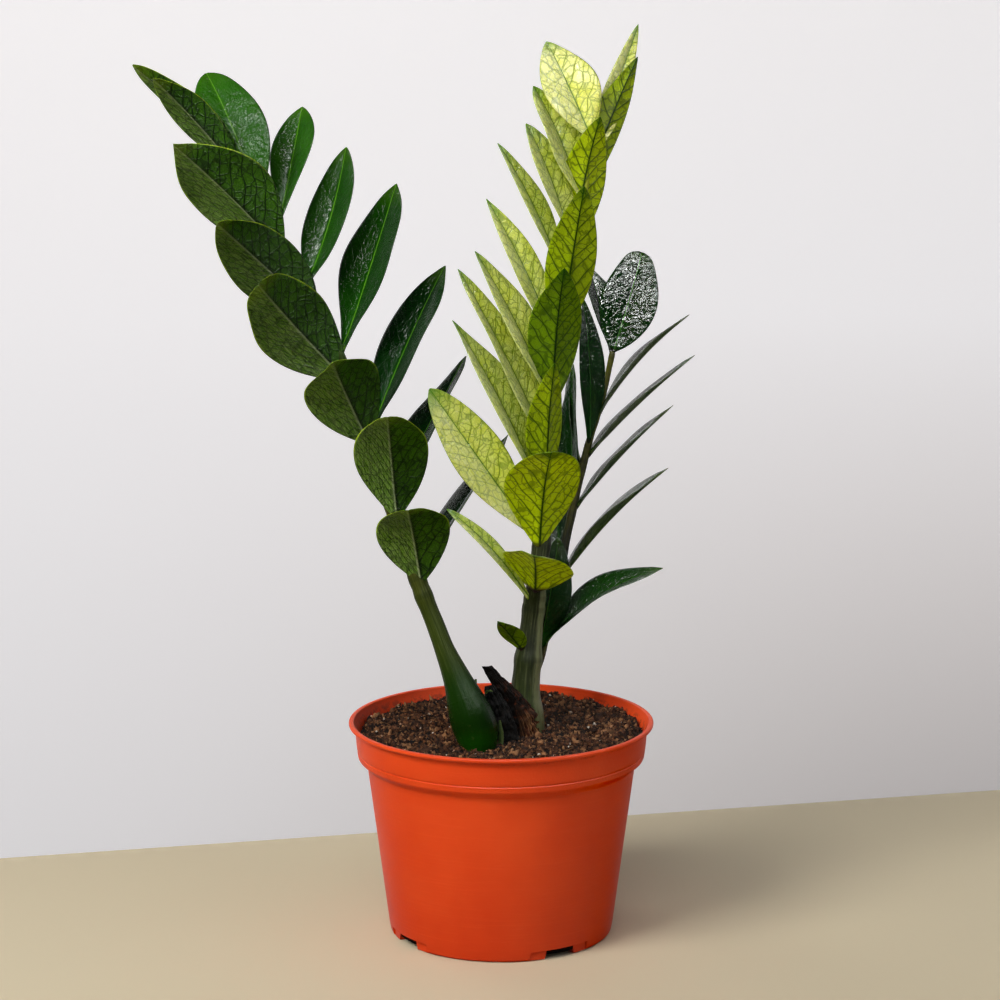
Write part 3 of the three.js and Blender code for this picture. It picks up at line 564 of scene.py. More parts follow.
def leaflet(parts, frond, spec, seed):
    """One leaflet: a stalk that widens into a folded, quilted blade with a rounded margin."""
    start, tip, width, face, bow, fold, belly, point, hue, gloss = spec
    draw = random.Random(seed)
    root = stem_at(frond["path"], start)
    base, along = root[:3], np.array(tip, float) - root[:3]
    length = np.linalg.norm(along)
    normal = np.array(face, float)
    normal = unit(normal - along * (normal @ along) / length ** 2)
    side = unit(np.cross(normal, along))
    stalk_end = (root[3] + 1.5) / length
    lean, rise = math.radians(fold), math.radians(fold + FOLD_MORE)

    stalk_rows = np.linspace(0, stalk_end, 4)[:-1]
    blade_rows = stalk_end + (1 - stalk_end) * np.linspace(0, BLADE_END, BLADE_ROWS)
    u = np.concatenate([stalk_rows, blade_rows])
    blade = np.clip((u - stalk_end) / (1 - stalk_end), 0, 1)
    t = np.linspace(-1, 1, BLADE_COLUMNS + 1)
    v = 0.4 * np.sin(t * np.pi / 2) + 0.6 * t

    tangent = np.array([unit(along + normal * bow * 4 * (1 - 2 * k)) for k in u])
    up = np.cross(tangent, side)
    middle = base + np.outer(u, along) + np.outer(bow * 4 * u * (1 - u), normal)
    stalk = STALK_RADIUS * (1 - smoothstep(0, 0.3, blade))
    half = np.maximum(np.hypot(0.5 * width * oval(blade, belly, point), stalk), LEAST_HALF_WIDTH)
    thick = STALK_RADIUS + (0.5 * BLADE - STALK_RADIUS) * smoothstep(0, 0.14, blade)
    thick = thick * (1 - 0.5 * smoothstep(0.9, 1, blade))
    squareness = 2 + 8 * smoothstep(0, 0.2, blade)

    wave_turns, wave_phase = draw.uniform(1.2, 2.0), draw.uniform(0, FULL_TURN)
    twist = math.radians(draw.uniform(-TWIST, TWIST))
    grid_u, grid_v = np.meshgrid(u, v, indexing="ij")
    grid_blade = np.repeat(blade[:, None], len(v), axis=1)
    across = grid_v * half[:, None]
    reach, edge = np.abs(across), np.abs(grid_v)
    flatten = 1 - 0.5 * smoothstep(0.55, 1, grid_blade)
    lift = np.sqrt(reach ** 2 + 0.35) * math.sin(rise) * (1 - 0.35 * edge) * flatten
    fade = smoothstep(0.02, 0.2, grid_blade) * (1 - smoothstep(0.9, 1, grid_blade))
    ripple = np.sin(wave_turns * FULL_TURN * grid_u + wave_phase + grid_v)
    lift += fade * WAVE_HEIGHT * width * edge ** 2 * ripple
    lift += fade * across * math.tan(twist) * (grid_u - 0.5)
    drift = np.array([[noise.noise(Vector((0.09 * a * length, 0.09 * c, 3.7 * seed)))
                       for a, c in zip(*pair)] for pair in zip(grid_u, across)])
    lane = grid_u * length + VEIN_WARP * drift
    left_spacing, right_spacing = frond["vein_spacing"]
    left_lean, right_lean = frond["vein_lean"]
    spacing = np.where(grid_v > 0, right_spacing, left_spacing)
    vein_lean = np.where(grid_v > 0, right_lean, left_lean)
    line = lane - vein_lean * reach - VEIN_BEND * reach ** 2 + VEIN_OFFSET * (grid_v > 0)
    quilt = 0.5 + 0.5 * np.cos(2 * np.pi * line / spacing)
    lift += fade * QUILT * quilt * (1 - edge ** 4) * np.clip(reach / 2.5, 0, 1)
    body = thick[:, None] * np.sqrt(np.clip(1 - edge ** squareness[:, None], 0, 1))
    ridge = np.exp(-(across / 1.1) ** 2) * smoothstep(0.03, 0.2, grid_blade) * (1 - 0.7 * grid_blade)
    upper = lift + body - 0.35 * ridge
    lower = lift - body - 0.55 * ridge

    flat = middle[:, None, :] + side * (across * math.cos(lean))[:, :, None]
    top = flat + up[:, None, :] * upper[:, :, None]
    bottom = flat + up[:, None, :] * lower[:, :, None]
    rings = around(top, bottom)
    count, size = rings.shape[:2]
    vertices = np.vstack([rings.reshape(-1, 3), tip])
    last = (count - 1) * size
    faces = [(b, a, d, c) for a, b, c, d in ring_faces(count, size)]
    faces += [(last + (j + 1) % size, last + j, count * size) for j in range(size)]
    faces.append(tuple(range(size)))
    indices = [0 if j < BLADE_COLUMNS else 1 for j in range(size)] * count + [1]

    spot = 17.0 * seed
    metric = layers((count, size), around(lane), around(across), spot)
    share = layers((count, size), around(grid_blade), around(grid_v), hue)
    trait = np.tile([gloss, draw.uniform(0.88, 1.1), 0], (len(vertices), 1))
    parts.add(vertices, faces, indices, metric=np.vstack([metric, [length, 0, spot]]),
              share=np.vstack([share, [1, 0, hue]]), trait=trait)


def spline(path, step):
    """Points of a smooth curve through the path's rows, about `step` apart, with radii."""
    rows = np.array(path, float)
    padded = np.vstack([2 * rows[0] - rows[1], rows, 2 * rows[-1] - rows[-2]])
    result = []
    for k in range(1, len(padded) - 2):
        p0, p1, p2, p3 = padded[k - 1:k + 3]
        count = max(2, int(np.linalg.norm((p2 - p1)[:3]) / step))
        for t in np.arange(count) / count:
            result.append(0.5 * (2 * p1 + (p2 - p0) * t + (2 * p0 - 5 * p1 + 4 * p2 - p3) * t ** 2
                                 + (3 * p1 - p0 - 3 * p2 + p3) * t ** 3))
    result.append(rows[-1])
    return np.array(result)


def tube(points, sides, shape=None):
    """Vertices and faces of a closed tube through points with radii."""
    tangents = np.gradient(points[:, :3], axis=0)
    vertices = []
    across = np.array([0.0, 1.0, 0.0])
    for k, (point, tangent) in enumerate(zip(points, tangents)):
        along = unit(tangent)
        across = unit(across - along * (across @ along))
        third = np.cross(along, across)
        for j in range(sides):
            angle = 2 * math.pi * j / sides
            radius = point[3] * (shape(k, angle) if shape else 1)
            vertices.append(point[:3] + radius * (math.cos(angle) * across + math.sin(angle) * third))
    return np.array(vertices), closed_faces(len(points), sides)


def stem(name, frond, slot, node, material):
    """Petiole and rachis with ribs, swollen joints and a rounded end."""
    points = spline(frond["path"], STEM_STEP)
    joints = [row[0] for row in frond["leaflets"]]
    end = points[-1].copy()
    ahead = unit(points[-1][:3] - points[-3][:3])
    for share in (0.55, 0.85, 1.0):
        radius = end[3] * math.sqrt(max(0.04, 1 - share ** 2))
        points = np.vstack([points, [*(end[:3] + ahead * end[3] * share), radius]])
    swell = np.array([max(math.exp(-((z - joint) / 4.0) ** 2) for joint in joints) for z in points[:, 2]])
    points[:, 3] *= 1 + 0.12 * swell

    def ribs(k, angle):
        return 1 + 0.008 * math.cos(5 * angle + 0.6) + 0.004 * math.cos(13 * angle + 0.01 * points[k][2])

    vertices, faces = tube(points, STEM_SIDES, ribs)
    rows = np.repeat(points, STEM_SIDES, axis=0)
    outward = vertices - rows[:, :3]
    outward /= np.linalg.norm(outward, axis=1, keepdims=True)
    parts = Parts()
    parts.add(vertices, faces, metric=np.column_stack([outward[:, :2], rows[:, 2]]),
              share=np.outer(np.repeat(swell, STEM_SIDES), (1, 0, 0)))
    parts.piece(name, [material], slot, node)


def leaves(name, frond, slot, node, materials, seed):
    parts = Parts()
    for number, spec in enumerate(frond["leaflets"]):
        leaflet(parts, frond, spec, seed + number)
    parts.piece(name, materials, slot, node)


# ---------------------------------------------------------------- stem material


def stem_material(name, look):
    """Streaked stem whose colour runs from its foot up; joints carry darker rings, and a painted sheen
    lies on its +x side over a band of heights.
    """
    g = Graph(name)
    metric = g.attribute("metric")
    x, _, height = g.split(metric)
    joint, _, _ = g.split(g.attribute("share"))
    streaks = g.noise(g.stretch(metric, 4.0, 4.0, 0.035), 1.6, 4.0, 0.65)
    spots = g.noise(g.stretch(metric, 6.0, 6.0, 1.0), 0.8, 3.0, 0.6)
    rows = look["colours"]
    colour = rows[0][1]
    for (low, _), (high, tone) in zip(rows, rows[1:]):
        colour = g.blend(g.step(height, low, high), colour, tone)
    # painted sheen: the stem's +x side is paled over a band of heights
    low, high = look["painted_sheen_between"]
    side = g.step(x, look["painted_sheen_from"], look["painted_sheen_from"] + 0.3)
    sheen_band = g.times(g.step(height, low - 10, low + 10), g.step(height, high + 12, high - 12))
    colour = g.cover(colour, look["streak"], side, look["painted_sheen_cover"], sheen_band)
    plain = g.step(height, *look["plain_end"])
    colour = g.cover(colour, look["streak"], g.step(streaks, 0.48, 0.66), look["streak_cover"], plain)
    dark = g.times(g.step(streaks, 0.5, 0.34), look["dark_cover"])
    colour = g.cover(colour, look["dark"], dark, g.math("MAXIMUM", plain, 0.35))
    colour = g.cover(colour, look["streak"], g.step(spots, 0.62, 0.75), 0.15)
    colour = g.cover(colour, look["dark"], g.step(joint, 0.75, 0.98), 0.3)
    rough = g.scaled(g.step(height, *look["gloss_end"]), 0.24, look["roughness"])
    return g.finish(colour, rough, look["specular"], g.scaled(spots, 0.5, streaks), STEM_RELIEF)


# Each of the colours is reached at its height in millimetres.
LEFT_STEM = dict(
    colours=[(104, (34, 92, 12)), (113, (20, 66, 5)), (124, (12, 38, 3)), (142, (18, 44, 4)),
             (165, (46, 58, 12)), (230, (64, 64, 20)), (330, (54, 76, 16)), (420, (80, 104, 20))],
    streak=(92, 104, 56), streak_cover=0.25, dark=(8, 24, 2), dark_cover=0.6, painted_sheen_from=0.55,
    painted_sheen_between=(150, 200), painted_sheen_cover=0.15, plain_end=(132, 172), gloss_end=(120, 165),
    roughness=0.2, specular=0.07,
)
MIDDLE_STEM = dict(
    colours=[(100, (66, 80, 28)), (122, (56, 70, 20)), (142, (34, 42, 10)), (180, (28, 32, 8)),
             (215, (34, 40, 10)), (280, (116, 132, 20)), (440, (180, 188, 34))],
    streak=(124, 132, 92), streak_cover=0.2, dark=(14, 22, 2), dark_cover=0.6, painted_sheen_from=0.35,
    painted_sheen_between=(110, 190), painted_sheen_cover=0.8, plain_end=(60, 90), gloss_end=(110, 160),
    roughness=0.32, specular=0.2,
)
BACK_STEM = dict(
    MIDDLE_STEM,
    colours=[(100, (40, 48, 22)), (150, (48, 54, 26)), (200, (16, 24, 4)), (232, (60, 60, 10)),
             (300, (96, 98, 14))],
    streak=(110, 106, 40), streak_cover=0.3, dark=(22, 20, 3), painted_sheen_from=0.4,
    painted_sheen_between=(100, 160), painted_sheen_cover=0.3, roughness=0.3, specular=0.25,
)

# ---------------------------------------------------------------- pot


def arc(centre, radius, start, end, count):
    """Points of an arc in the r, z plane; angles in degrees."""
    angles = np.radians(np.linspace(start, end, count))
    return [(centre[0] + radius * math.cos(a), centre[1] + radius * math.sin(a)) for a in angles]


def pot_profile():
    lip = POT_HEIGHT - LIP_HEIGHT
    slope = (POT_BODY_RADIUS - POT_BASE_RADIUS) / STEP_BOTTOM
    outer = [(0, 0.5), (POT_BASE_RADIUS - 6, 0.5), (POT_BASE_RADIUS - 4.5, 0)]
    outer += arc((POT_BASE_RADIUS - 1.9, 1.9), 1.9, -90, -8, 8)
    for share in np.linspace(0.06, 0.975, 24):
        outer.append((POT_BASE_RADIUS + slope * STEP_BOTTOM * share, STEP_BOTTOM * share))
    outer += arc((POT_BODY_RADIUS + 2.6, STEP_BOTTOM + 0.6), 2.6, 178, 128, 7)
    outer += arc((POT_BAND_RADIUS - 3.1, BAND_BOTTOM - 0.4), 2.3, -52, 2, 8)
    for height, inset in ((1.4, 0.5), (1.9, 0.85), (2.4, 0.45), (3.4, 0.25), (6.0, 0.0), (12.0, -0.5)):
        outer.append((POT_BAND_RADIUS - inset, BAND_BOTTOM + height))
    outer += arc((POT_BAND_RADIUS + 2.3, lip - 1.7), 1.7, 180, 100, 6)
    outer += arc((POT_RIM_RADIUS - 0.8, lip + 0.8), 0.8, -60, 0, 5)
    outer += arc((POT_RIM_RADIUS - 0.9, POT_HEIGHT - 0.9), 0.9, 0, 90, 7)
    inner = arc((POT_RIM_RADIUS - LIP_WIDTH + 0.7, POT_HEIGHT - 0.7), 0.7, 90, 180, 6)
    inner += [(POT_RIM_RADIUS - LIP_WIDTH - 0.25, lip), (POT_BAND_RADIUS - POT_WALL + 0.5, BAND_TOP + 1.6),
              (POT_BAND_RADIUS - POT_WALL, BAND_TOP), (POT_BAND_RADIUS - 0.9 - POT_WALL, BAND_BOTTOM),
              (POT_BODY_RADIUS - POT_WALL, STEP_BOTTOM), (POT_BASE_RADIUS - POT_WALL, POT_FLOOR + 1.2),
              (POT_BASE_RADIUS - POT_WALL - 1.2, POT_FLOOR), (0, POT_FLOOR)]
    return outer + inner


def revolve(profile, sides, wobble):
    """Vertices and faces of a body turned about Z; the profile starts and ends on the axis."""
    vertices = [(0, 0, profile[0][1])]
    for r, z in profile[1:-1]:
        for j in range(sides):
            angle = 2 * math.pi * j / sides
            vertices.append(polar(r + wobble(angle, z), angle, z))
    vertices.append((0, 0, profile[-1][1]))
    low, top = 1 + (len(profile) - 3) * sides, len(vertices) - 1
    faces = [(0, 1 + (j + 1) % sides, 1 + j) for j in range(sides)]
    faces += ring_faces(len(profile) - 2, sides, 1)
    faces += [(low + j, low + (j + 1) % sides, top) for j in range(sides)]
    return np.array(vertices), faces


def notch_cutter(inner, half_width, height, lean):
    """Closed curved blocks at the foot that cut one recess for each notch."""
    parts = Parts()
    outer, below, steps = POT_BASE_RADIUS + 6, -1, 15
    corners = ((inner, below), (inner, height), (outer, height), (outer, below))
    for k in range(NOTCH_COUNT):
        turn = math.radians(NOTCH_AZIMUTH + 360 * k / NOTCH_COUNT)
        rings = []
        for step in np.linspace(-1, 1, steps):
            for radius, z in corners:
                spread = 1 + lean if z == below else 1 - lean
                rings.append(polar(radius, turn + step * spread * half_width / POT_BASE_RADIUS, z))
        ends = [(0, 3, 2, 1), tuple(range(len(rings) - 4, len(rings)))]
        parts.add(rings, ring_faces(steps, len(corners)) + ends)
    return parts


def cut_away(piece, parts):
    """Subtracts closed bodies from a piece, with the result applied to its mesh."""
    mesh = bpy.data.meshes.new("cutter")
    mesh.from_pydata((np.concatenate(parts.vertices) * MM).tolist(), [], parts.faces)
    body = bmesh.new()
    body.from_mesh(mesh)
    bmesh.ops.recalc_face_normals(body, faces=body.faces)
    body.to_mesh(mesh)
    body.free()
    cutter = bpy.data.objects.new("cutter", mesh)
    bpy.context.scene.collection.objects.link(cutter)
    cut = piece.modifiers.new("cut", "BOOLEAN")
    cut.object = cutter
    cut.operation = "DIFFERENCE"
    cut.solver = "EXACT"
    graph = bpy.context.evaluated_depsgraph_get()
    piece.data = bpy.data.meshes.new_from_object(piece.evaluated_get(graph))
    piece.modifiers.clear()
    bpy.data.objects.remove(cutter)


def pot_material():
    """Terracotta plastic with moulding lines, scuffs, painted shade at the foot and a soiled inner rim."""
    g = Graph("pot_plastic")
    place = g.position()
    x, y, z = g.split(place)
    clouds = g.noise(place, 22, 3.0)
    lines = g.noise(g.stretch(place, 26, 26, 900), 1.0, 3.0, 0.7)
    scuffs = g.noise(g.stretch(place, 60, 60, 700), 1.0, 5.0, 0.7)
    dirt = g.noise(place, 260, 4.0, 0.75)
    colour = g.blend(g.step(clouds, 0.3, 0.7), (208, 63, 18), (216, 72, 25))
    # painted shade: below FOOT_SHADE the colour gets darker towards the floor
    colour = g.cover(colour, (176, 44, 10), g.step(z, FOOT_SHADE * MM, 0.0), 0.45)
    colour = g.cover(colour, (236, 96, 46), g.step(lines, 0.5, 0.72), 0.1)
    colour = g.cover(colour, (240, 130, 90), g.step(scuffs, 0.64, 0.74), 0.1)
    radius = g.math("SQRT", g.math("ADD", g.times(x, x), g.times(y, y)))
    above = g.math("MAXIMUM", g.minus(z, BAND_TOP * MM), 0.0)
    wall = g.scaled(above, 0.22, (POT_BAND_RADIUS - 0.7) * MM)
    inside = g.step(g.minus(radius, wall), 0.0002, -0.0001)
    high = g.times(g.step(z, 0.1075, 0.1095), g.step(z, 0.1165, 0.1105))
    colour = g.cover(colour, (92, 44, 26), inside, high, g.step(dirt, 0.48, 0.6), 0.75)
    g.finish(colour, g.scaled(lines, 0.12, 0.42), 0.15)
    g.let_light_in(0.08, (1.0, 0.25, 0.1), 0.002)
    grain = g.bump(g.noise(place, 900, 2.0), 0.00008)
    g.fill(g.shader, Normal=g.bump(lines, 0.00009, Normal=grain))
    return g.material


def make_pot():
    def wobble(angle, z):
        return 0.12 * math.sin(2 * angle + 0.7) * smoothstep(60, POT_HEIGHT, z) - 0.12

    vertices, faces = revolve(pot_profile(), POT_SIDES, wobble)
    pot = make_piece("nursery_pot", vertices, faces, [pot_material()], "pot")
    half = NOTCH_WIDTH / 2
    cut_away(pot, notch_cutter(POT_BASE_RADIUS - PAD_DEPTH, half + PAD_WIDTH, NOTCH_HEIGHT, 0.015))
    cut_away(pot, notch_cutter(POT_BASE_RADIUS - NOTCH_DEPTH, half, NOTCH_HEIGHT - 0.3, 0.08))
    pot.data.polygons.foreach_set("use_smooth", [True] * len(pot.data.polygons))
    pot.data.set_sharp_from_angle(angle=math.radians(35))


# ---------------------------------------------------------------- potting mix


def soil_height(x, y):
    """Level of the mix at a place, in millimetres."""
    place = Vector((x, y, 0))
    low = noise.noise(place * 0.035) * 1.6
    lumps = noise.noise(place * 0.13) * 1.9 + noise.noise(place * 0.33) * 1.3
    away = ((x - MOUND["x"]) ** 2 + (y - MOUND["y"]) ** 2) / (2 * MOUND["spread"] ** 2)
    radius = math.hypot(x, y)
    edge = 2.6 * noise.noise(Vector((x, y, 40)) * 0.09) * float(smoothstep(60, 76, radius))
    return SOIL_LEVEL + low + lumps + MOUND["height"] * math.exp(-away) + edge


def soil_material(name, low, high, pale, rough=0.92):
    """Brown crumbly matter with fine dark and pale grains; each crumb has its own tone."""
    g = Graph(name)
    place = g.position()
    tone, _, _ = g.split(g.attribute("share"))
    clumps = g.noise(place, 260, 4.0, 0.7)
    grains = g.noise(place, 1400, 3.0, 0.7)
    colour = g.blend(g.step(clumps, 0.36, 0.66), low, high)
    colour = g.cover(colour, pale, g.step(grains, 0.58, 0.74), 0.6)
    colour = g.cover(colour, (22, 14, 10), g.step(grains, 0.46, 0.34), 0.6)
    colour = g.cover(colour, (12, 7, 4), g.step(tone, 0.5, 0.05), 0.7)
    colour = g.cover(colour, pale, g.step(tone, 0.7, 1.0), 0.75)
    return g.finish(colour, rough, 0.12, g.scaled(grains, 0.5, clumps), CRUMB_RELIEF)


def soil_body(material):
    """Closed body of potting mix with a rough top that follows soil_height."""
    rings, sides, gap = 130, 420, 0.5
    below = ((POT_BAND_RADIUS - 0.9 - POT_WALL - gap, BAND_BOTTOM),
             (POT_BODY_RADIUS - POT_WALL - gap, STEP_BOTTOM),
             (POT_BASE_RADIUS - POT_WALL - gap, POT_FLOOR + gap))
    angles = [2 * math.pi * j / sides for j in range(sides)]
    vertices = [(0, 0, soil_height(0, 0))]
    for radius in SOIL_RADIUS * np.sqrt(np.linspace(0, 1, rings + 1))[1:]:
        for angle in angles:
            x, y, _ = polar(radius, angle)
            crumb = noise.noise(Vector((x, y, 9)) * 0.9) * 0.8
            crumb += noise.noise(Vector((x, y, 5)) * 2.1) * 0.45
            vertices.append((x, y, soil_height(x, y) + crumb))
    for radius, z in below:
        vertices += [polar(radius, angle, z) for angle in angles]
    vertices.append((0, 0, POT_FLOOR + gap))
    rings += len(below)
    last = 1 + (rings - 1) * sides
    faces = [(0, 1 + j, 1 + (j + 1) % sides) for j in range(sides)]
    faces += [(a, d, c, b) for a, b, c, d in ring_faces(rings, sides, 1)]
    faces += [(last + (j + 1) % sides, last + j, len(vertices) - 1) for j in range(sides)]
    make_piece("potting_mix_body", vertices, faces, [material], "potting_mix")


def lump_shapes(count, subdivisions, roughness, seed):
    """A few knobbly closed bodies of radius about 1."""
    shapes = []
    for number in range(count):
        body = bmesh.new()
        bmesh.ops.create_icosphere(body, subdivisions=subdivisions, radius=1)
        for vertex in body.verts:
            push = noise.noise(vertex.co * 1.6 + Vector((seed, number * 5.0, 0)))
            push += 0.5 * noise.noise(vertex.co * 3.7 + Vector((number * 3.0, seed, 0)))
            vertex.co *= 1 + roughness * push
        body.verts.index_update()
        vertices = np.array([vertex.co[:] for vertex in body.verts])
        faces = [tuple(vertex.index for vertex in face.verts) for face in body.faces]
        body.free()
        shapes.append((vertices, faces))
    return shapes


def random_turn(draw):
    """A random rotation matrix."""
    turn = Quaternion([draw.gauss(0, 1) for _ in range(4)]).normalized()
    return np.array(turn.to_matrix())


FRONDS = (LEFT_FROND, MIDDLE_FROND, BACK_FROND)
STEM_FEET = [tuple(stem_at(frond["path"], SOIL_LEVEL)) for frond in FRONDS]
PERLITE_HEAP = (3, -64, 9)  # x, y and spread of the lumps that lie together in front


def soil_place(draw, clear=0.0, heap=None):
    """A random place on the mix off the stems, or in a heap."""
    if heap:
        return draw.gauss(heap[0], heap[2]), draw.gauss(heap[1], heap[2] / 3)
    while True:
        radius = (SOIL_RADIUS - 1.2) * math.sqrt(draw.random())
        x, y, _ = polar(radius, draw.uniform(0, 2 * math.pi))
        if all(math.hypot(x - foot[0], y - foot[1]) > foot[3] + clear for foot in STEM_FEET):
            return x, y


def scatter(name, material, shapes, count, sizes, stretch, raised, seed, heap=None):
    """Lumps of random size and turn strewn over the mix."""
    draw = random.Random(seed)
    parts = Parts()
    for _ in range(count):
        size = sizes[0] + (sizes[1] - sizes[0]) * draw.random() ** 2.2
        x, y = soil_place(draw, 0.4 * size, heap)
        vertices, faces = shapes[draw.randrange(len(shapes))]
        scale = np.array([size * draw.uniform(1, stretch), size, size * draw.uniform(0.55, 1)])
        turned = (vertices * scale) @ random_turn(draw).T
        z = soil_height(x, y) + raised * size
        reach = np.hypot(turned[:, 0] + x, turned[:, 1] + y).max()
        if reach > SOIL_RADIUS + 0.4:
            x, y = x * (SOIL_RADIUS / reach), y * (SOIL_RADIUS / reach)
        tones = np.tile([draw.random(), 0, 0], (len(vertices), 1))
        parts.add(turned + np.array([x, y, z]), faces, share=tones)
    parts.piece(name, [material], "potting_mix", "potting_mix")


def fibres(name, material, count, seed):
    """Thin curved strands of peat that lie on the mix."""
    draw = random.Random(seed)
    parts = Parts()
    for _ in range(count):
        x, y = soil_place(draw, 2.0)
        heading = draw.uniform(0, 2 * math.pi)
        length = draw.uniform(3, 11)
        radius = draw.uniform(0.1, 0.24)
        bend = draw.uniform(-0.9, 0.9)
        tilt = draw.uniform(-0.25, 0.45)
        points = []
        for s in np.linspace(0, 1, 7):
            dx, dy, _ = polar(length * (s - 0.5), heading + bend * s)
            if math.hypot(x + dx, y + dy) > SOIL_RADIUS - 0.6:
                break
            z = soil_height(x + dx, y + dy) + 0.9 + tilt * length * (s - 0.5) * 0.6
            points.append((x + dx, y + dy, z, radius * (1 - 0.5 * s)))
        if len(points) >= 4:
            parts.add(*tube(np.array(points), 5))
    parts.piece(name, [material], "potting_mix", "potting_mix")


def perlite_material():
    """Pale pitted grains with dust, some of them browner."""
    g = Graph("perlite")
    place = g.position()
    tone, _, _ = g.split(g.attribute("share"))
    pits = g.noise(place, 1500, 3.0, 0.6)
    dust = g.noise(place, 500, 3.0)
    colour = g.blend(g.step(pits, 0.35, 0.65), (172, 152, 130), (232, 222, 208))
    colour = g.cover(colour, (140, 104, 78), g.step(dust, 0.5, 0.7), 0.6)
    colour = g.cover(colour, (178, 132, 100), g.step(tone, 0.6, 0.2))
    return g.finish(colour, 0.85, relief=pits, depth=0.0008)


def make_soil():
    body = soil_material("peat", (22, 12, 7), (50, 30, 18), (100, 68, 44))
    crumbs = soil_material("peat_crumbs", (28, 15, 9), (110, 68, 42), (158, 112, 74))
    bark = soil_material("bark", (96, 58, 32), (138, 92, 58), (196, 150, 108), 0.8)
    strands = soil_material("peat_fibres", (110, 72, 42), (158, 114, 72), (200, 160, 116), 0.8)
    pale = perlite_material()
    soil_body(body)
    # number of lumps, their radii, how much longer they may be, how high they lie, and a seed
    scatter("peat_crumbs_coarse", crumbs, lump_shapes(8, 2, 1.1, 3), 620, (0.8, 2.2), 1.8, 0.15, 11)
    scatter("peat_crumbs_fine", crumbs, lump_shapes(9, 1, 1.0, 4), 8500, (0.28, 1.15), 2.4, 0.45, 12)
    scatter("bark_bits", bark, lump_shapes(7, 1, 0.8, 5), 700, (0.3, 0.9), 3.0, 1.0, 13)
    scatter("perlite_grains", pale, lump_shapes(8, 1, 0.8, 6), 240, (0.25, 0.75), 1.6, 1.3, 14)
    scatter("perlite_lumps", pale, lump_shapes(8, 2, 0.7, 7), 14, (0.8, 1.5), 1.4, 0.9, 16, PERLITE_HEAP)
    fibres("peat_strands", strands, 380, 15)


# ---------------------------------------------------------------- sheaths


def sheet(parts, rows, thickness):
    """Closed thin sheet through a grid of points rows[k][j]."""
    grid = np.array(rows, float)
    size = grid.shape[1]
    normal = np.cross(np.gradient(grid, axis=0), np.gradient(grid, axis=1))
    normal /= np.linalg.norm(normal, axis=2, keepdims=True) + 1e-9
    v = np.linspace(-1, 1, size)
    rim = np.sqrt(np.clip(1 - v ** SHEET_SQUARENESS, 0, 1))[None, :, None]
    half = normal * 0.5 * thickness * rim
    rings = around(grid + half, grid - half)
    shape = rings.shape[:2]
    along = np.linspace(0, 1, shape[0])[:, None]
    points = rings.reshape(-1, 3)
    parts.add(points, closed_faces(*shape), metric=points,
              share=layers(shape, along, around(v[None]), 0))


def sheath_material(name, dark, brown, stripe, rough, stripe_reach):
    """Fibrous dry tissue: dark, with brown patches and pale stripes near its foot."""
    g = Graph(name)
    along, across, _ = g.split(g.attribute("share"))
    lane = g.combine(g.times(across, 7.0), g.times(along, 1.4), 0.0)
    lines = g.noise(lane, 1.8, 4.0, 0.7)
    spots = g.noise(g.attribute("metric"), 0.35, 3.0, 0.6)
    shade = g.scaled(across, 0.07, spots)
    colour = g.cover(dark, brown, g.step(shade, 0.52, 0.68), g.step(along, 0.9, 0.5))
    colour = g.cover(colour, dark, g.step(lines, 0.5, 0.38), 0.6)
    low = g.times(g.step(along, stripe_reach, 0.3 * stripe_reach), g.step(across, -0.3, 0.25))
    colour = g.cover(colour, brown, low, 0.55)
    colour = g.cover(colour, stripe, low, g.step(lines, 0.48, 0.6), 0.85)
    return g.finish(colour, rough, 0.08, g.scaled(spots, 1.5, lines), CRUMB_RELIEF)


# centre x, y, z, half width, how far the edges bend back, slope of the cross line
DRY_SHEATH = (
    (13.6, -11.5, 104, 11.2, 8.5, 0.30),
    (12.6, -12.6, 111, 10.8, 8.0, 0.28),
    (10.8, -13.6, 120, 9.6, 6.4, 0.20),
    (6.4, -14.8, 130, 6.4, 4.2, 0.30),
    (2.0, -15.6, 137, 4.6, 3.0, 0.50),
    (-2.6, -16.2, 143, 3.4, 2.0, 0.55),
    (-7.8, -17.0, 151, 2.7, 1.2, -0.35),
)
# a dried scrap in the gap between the stems, whose near-black colour also paints the shade in that gap
DARK_SCRAP_AND_SHADE = (
    (3.5, -23.0, 105, 7.5, 3.0, 0.0),
    (2.0, -23.0, 116, 7.2, 3.0, 0.1),
    (-1.0, -22.0, 127, 6.2, 2.6, 0.2),
    (-4.5, -20.5, 136, 4.4, 2.0, 0.1),
    (-6.5, -19.0, 141, 2.4, 1.0, 0.0),
)
GREEN_SCRAPS = (
    ((-8.4, -23.0, 137.0, 0.6, 0.3, 0.2), (-6.8, -23.8, 139.2, 0.8, 0.5, 0.1),
     (-4.6, -23.8, 138.6, 0.4, 0.2, 0.0)),
    ((-0.4, -28.5, 106.0, 1.6, 0.8, 0.0), (0.2, -27.8, 116.0, 1.4, 0.7, 0.1),
     (-0.9, -26.0, 124.0, 0.5, 0.2, 0.0)),
    ((-14.4, -24.4, 141.0, 0.9, 0.4, 0.3), (-13.9, -24.2, 143.5, 1.1, 0.5, 0.2),
     (-13.4, -24.0, 145.6, 0.4, 0.2, 0.0)),
)


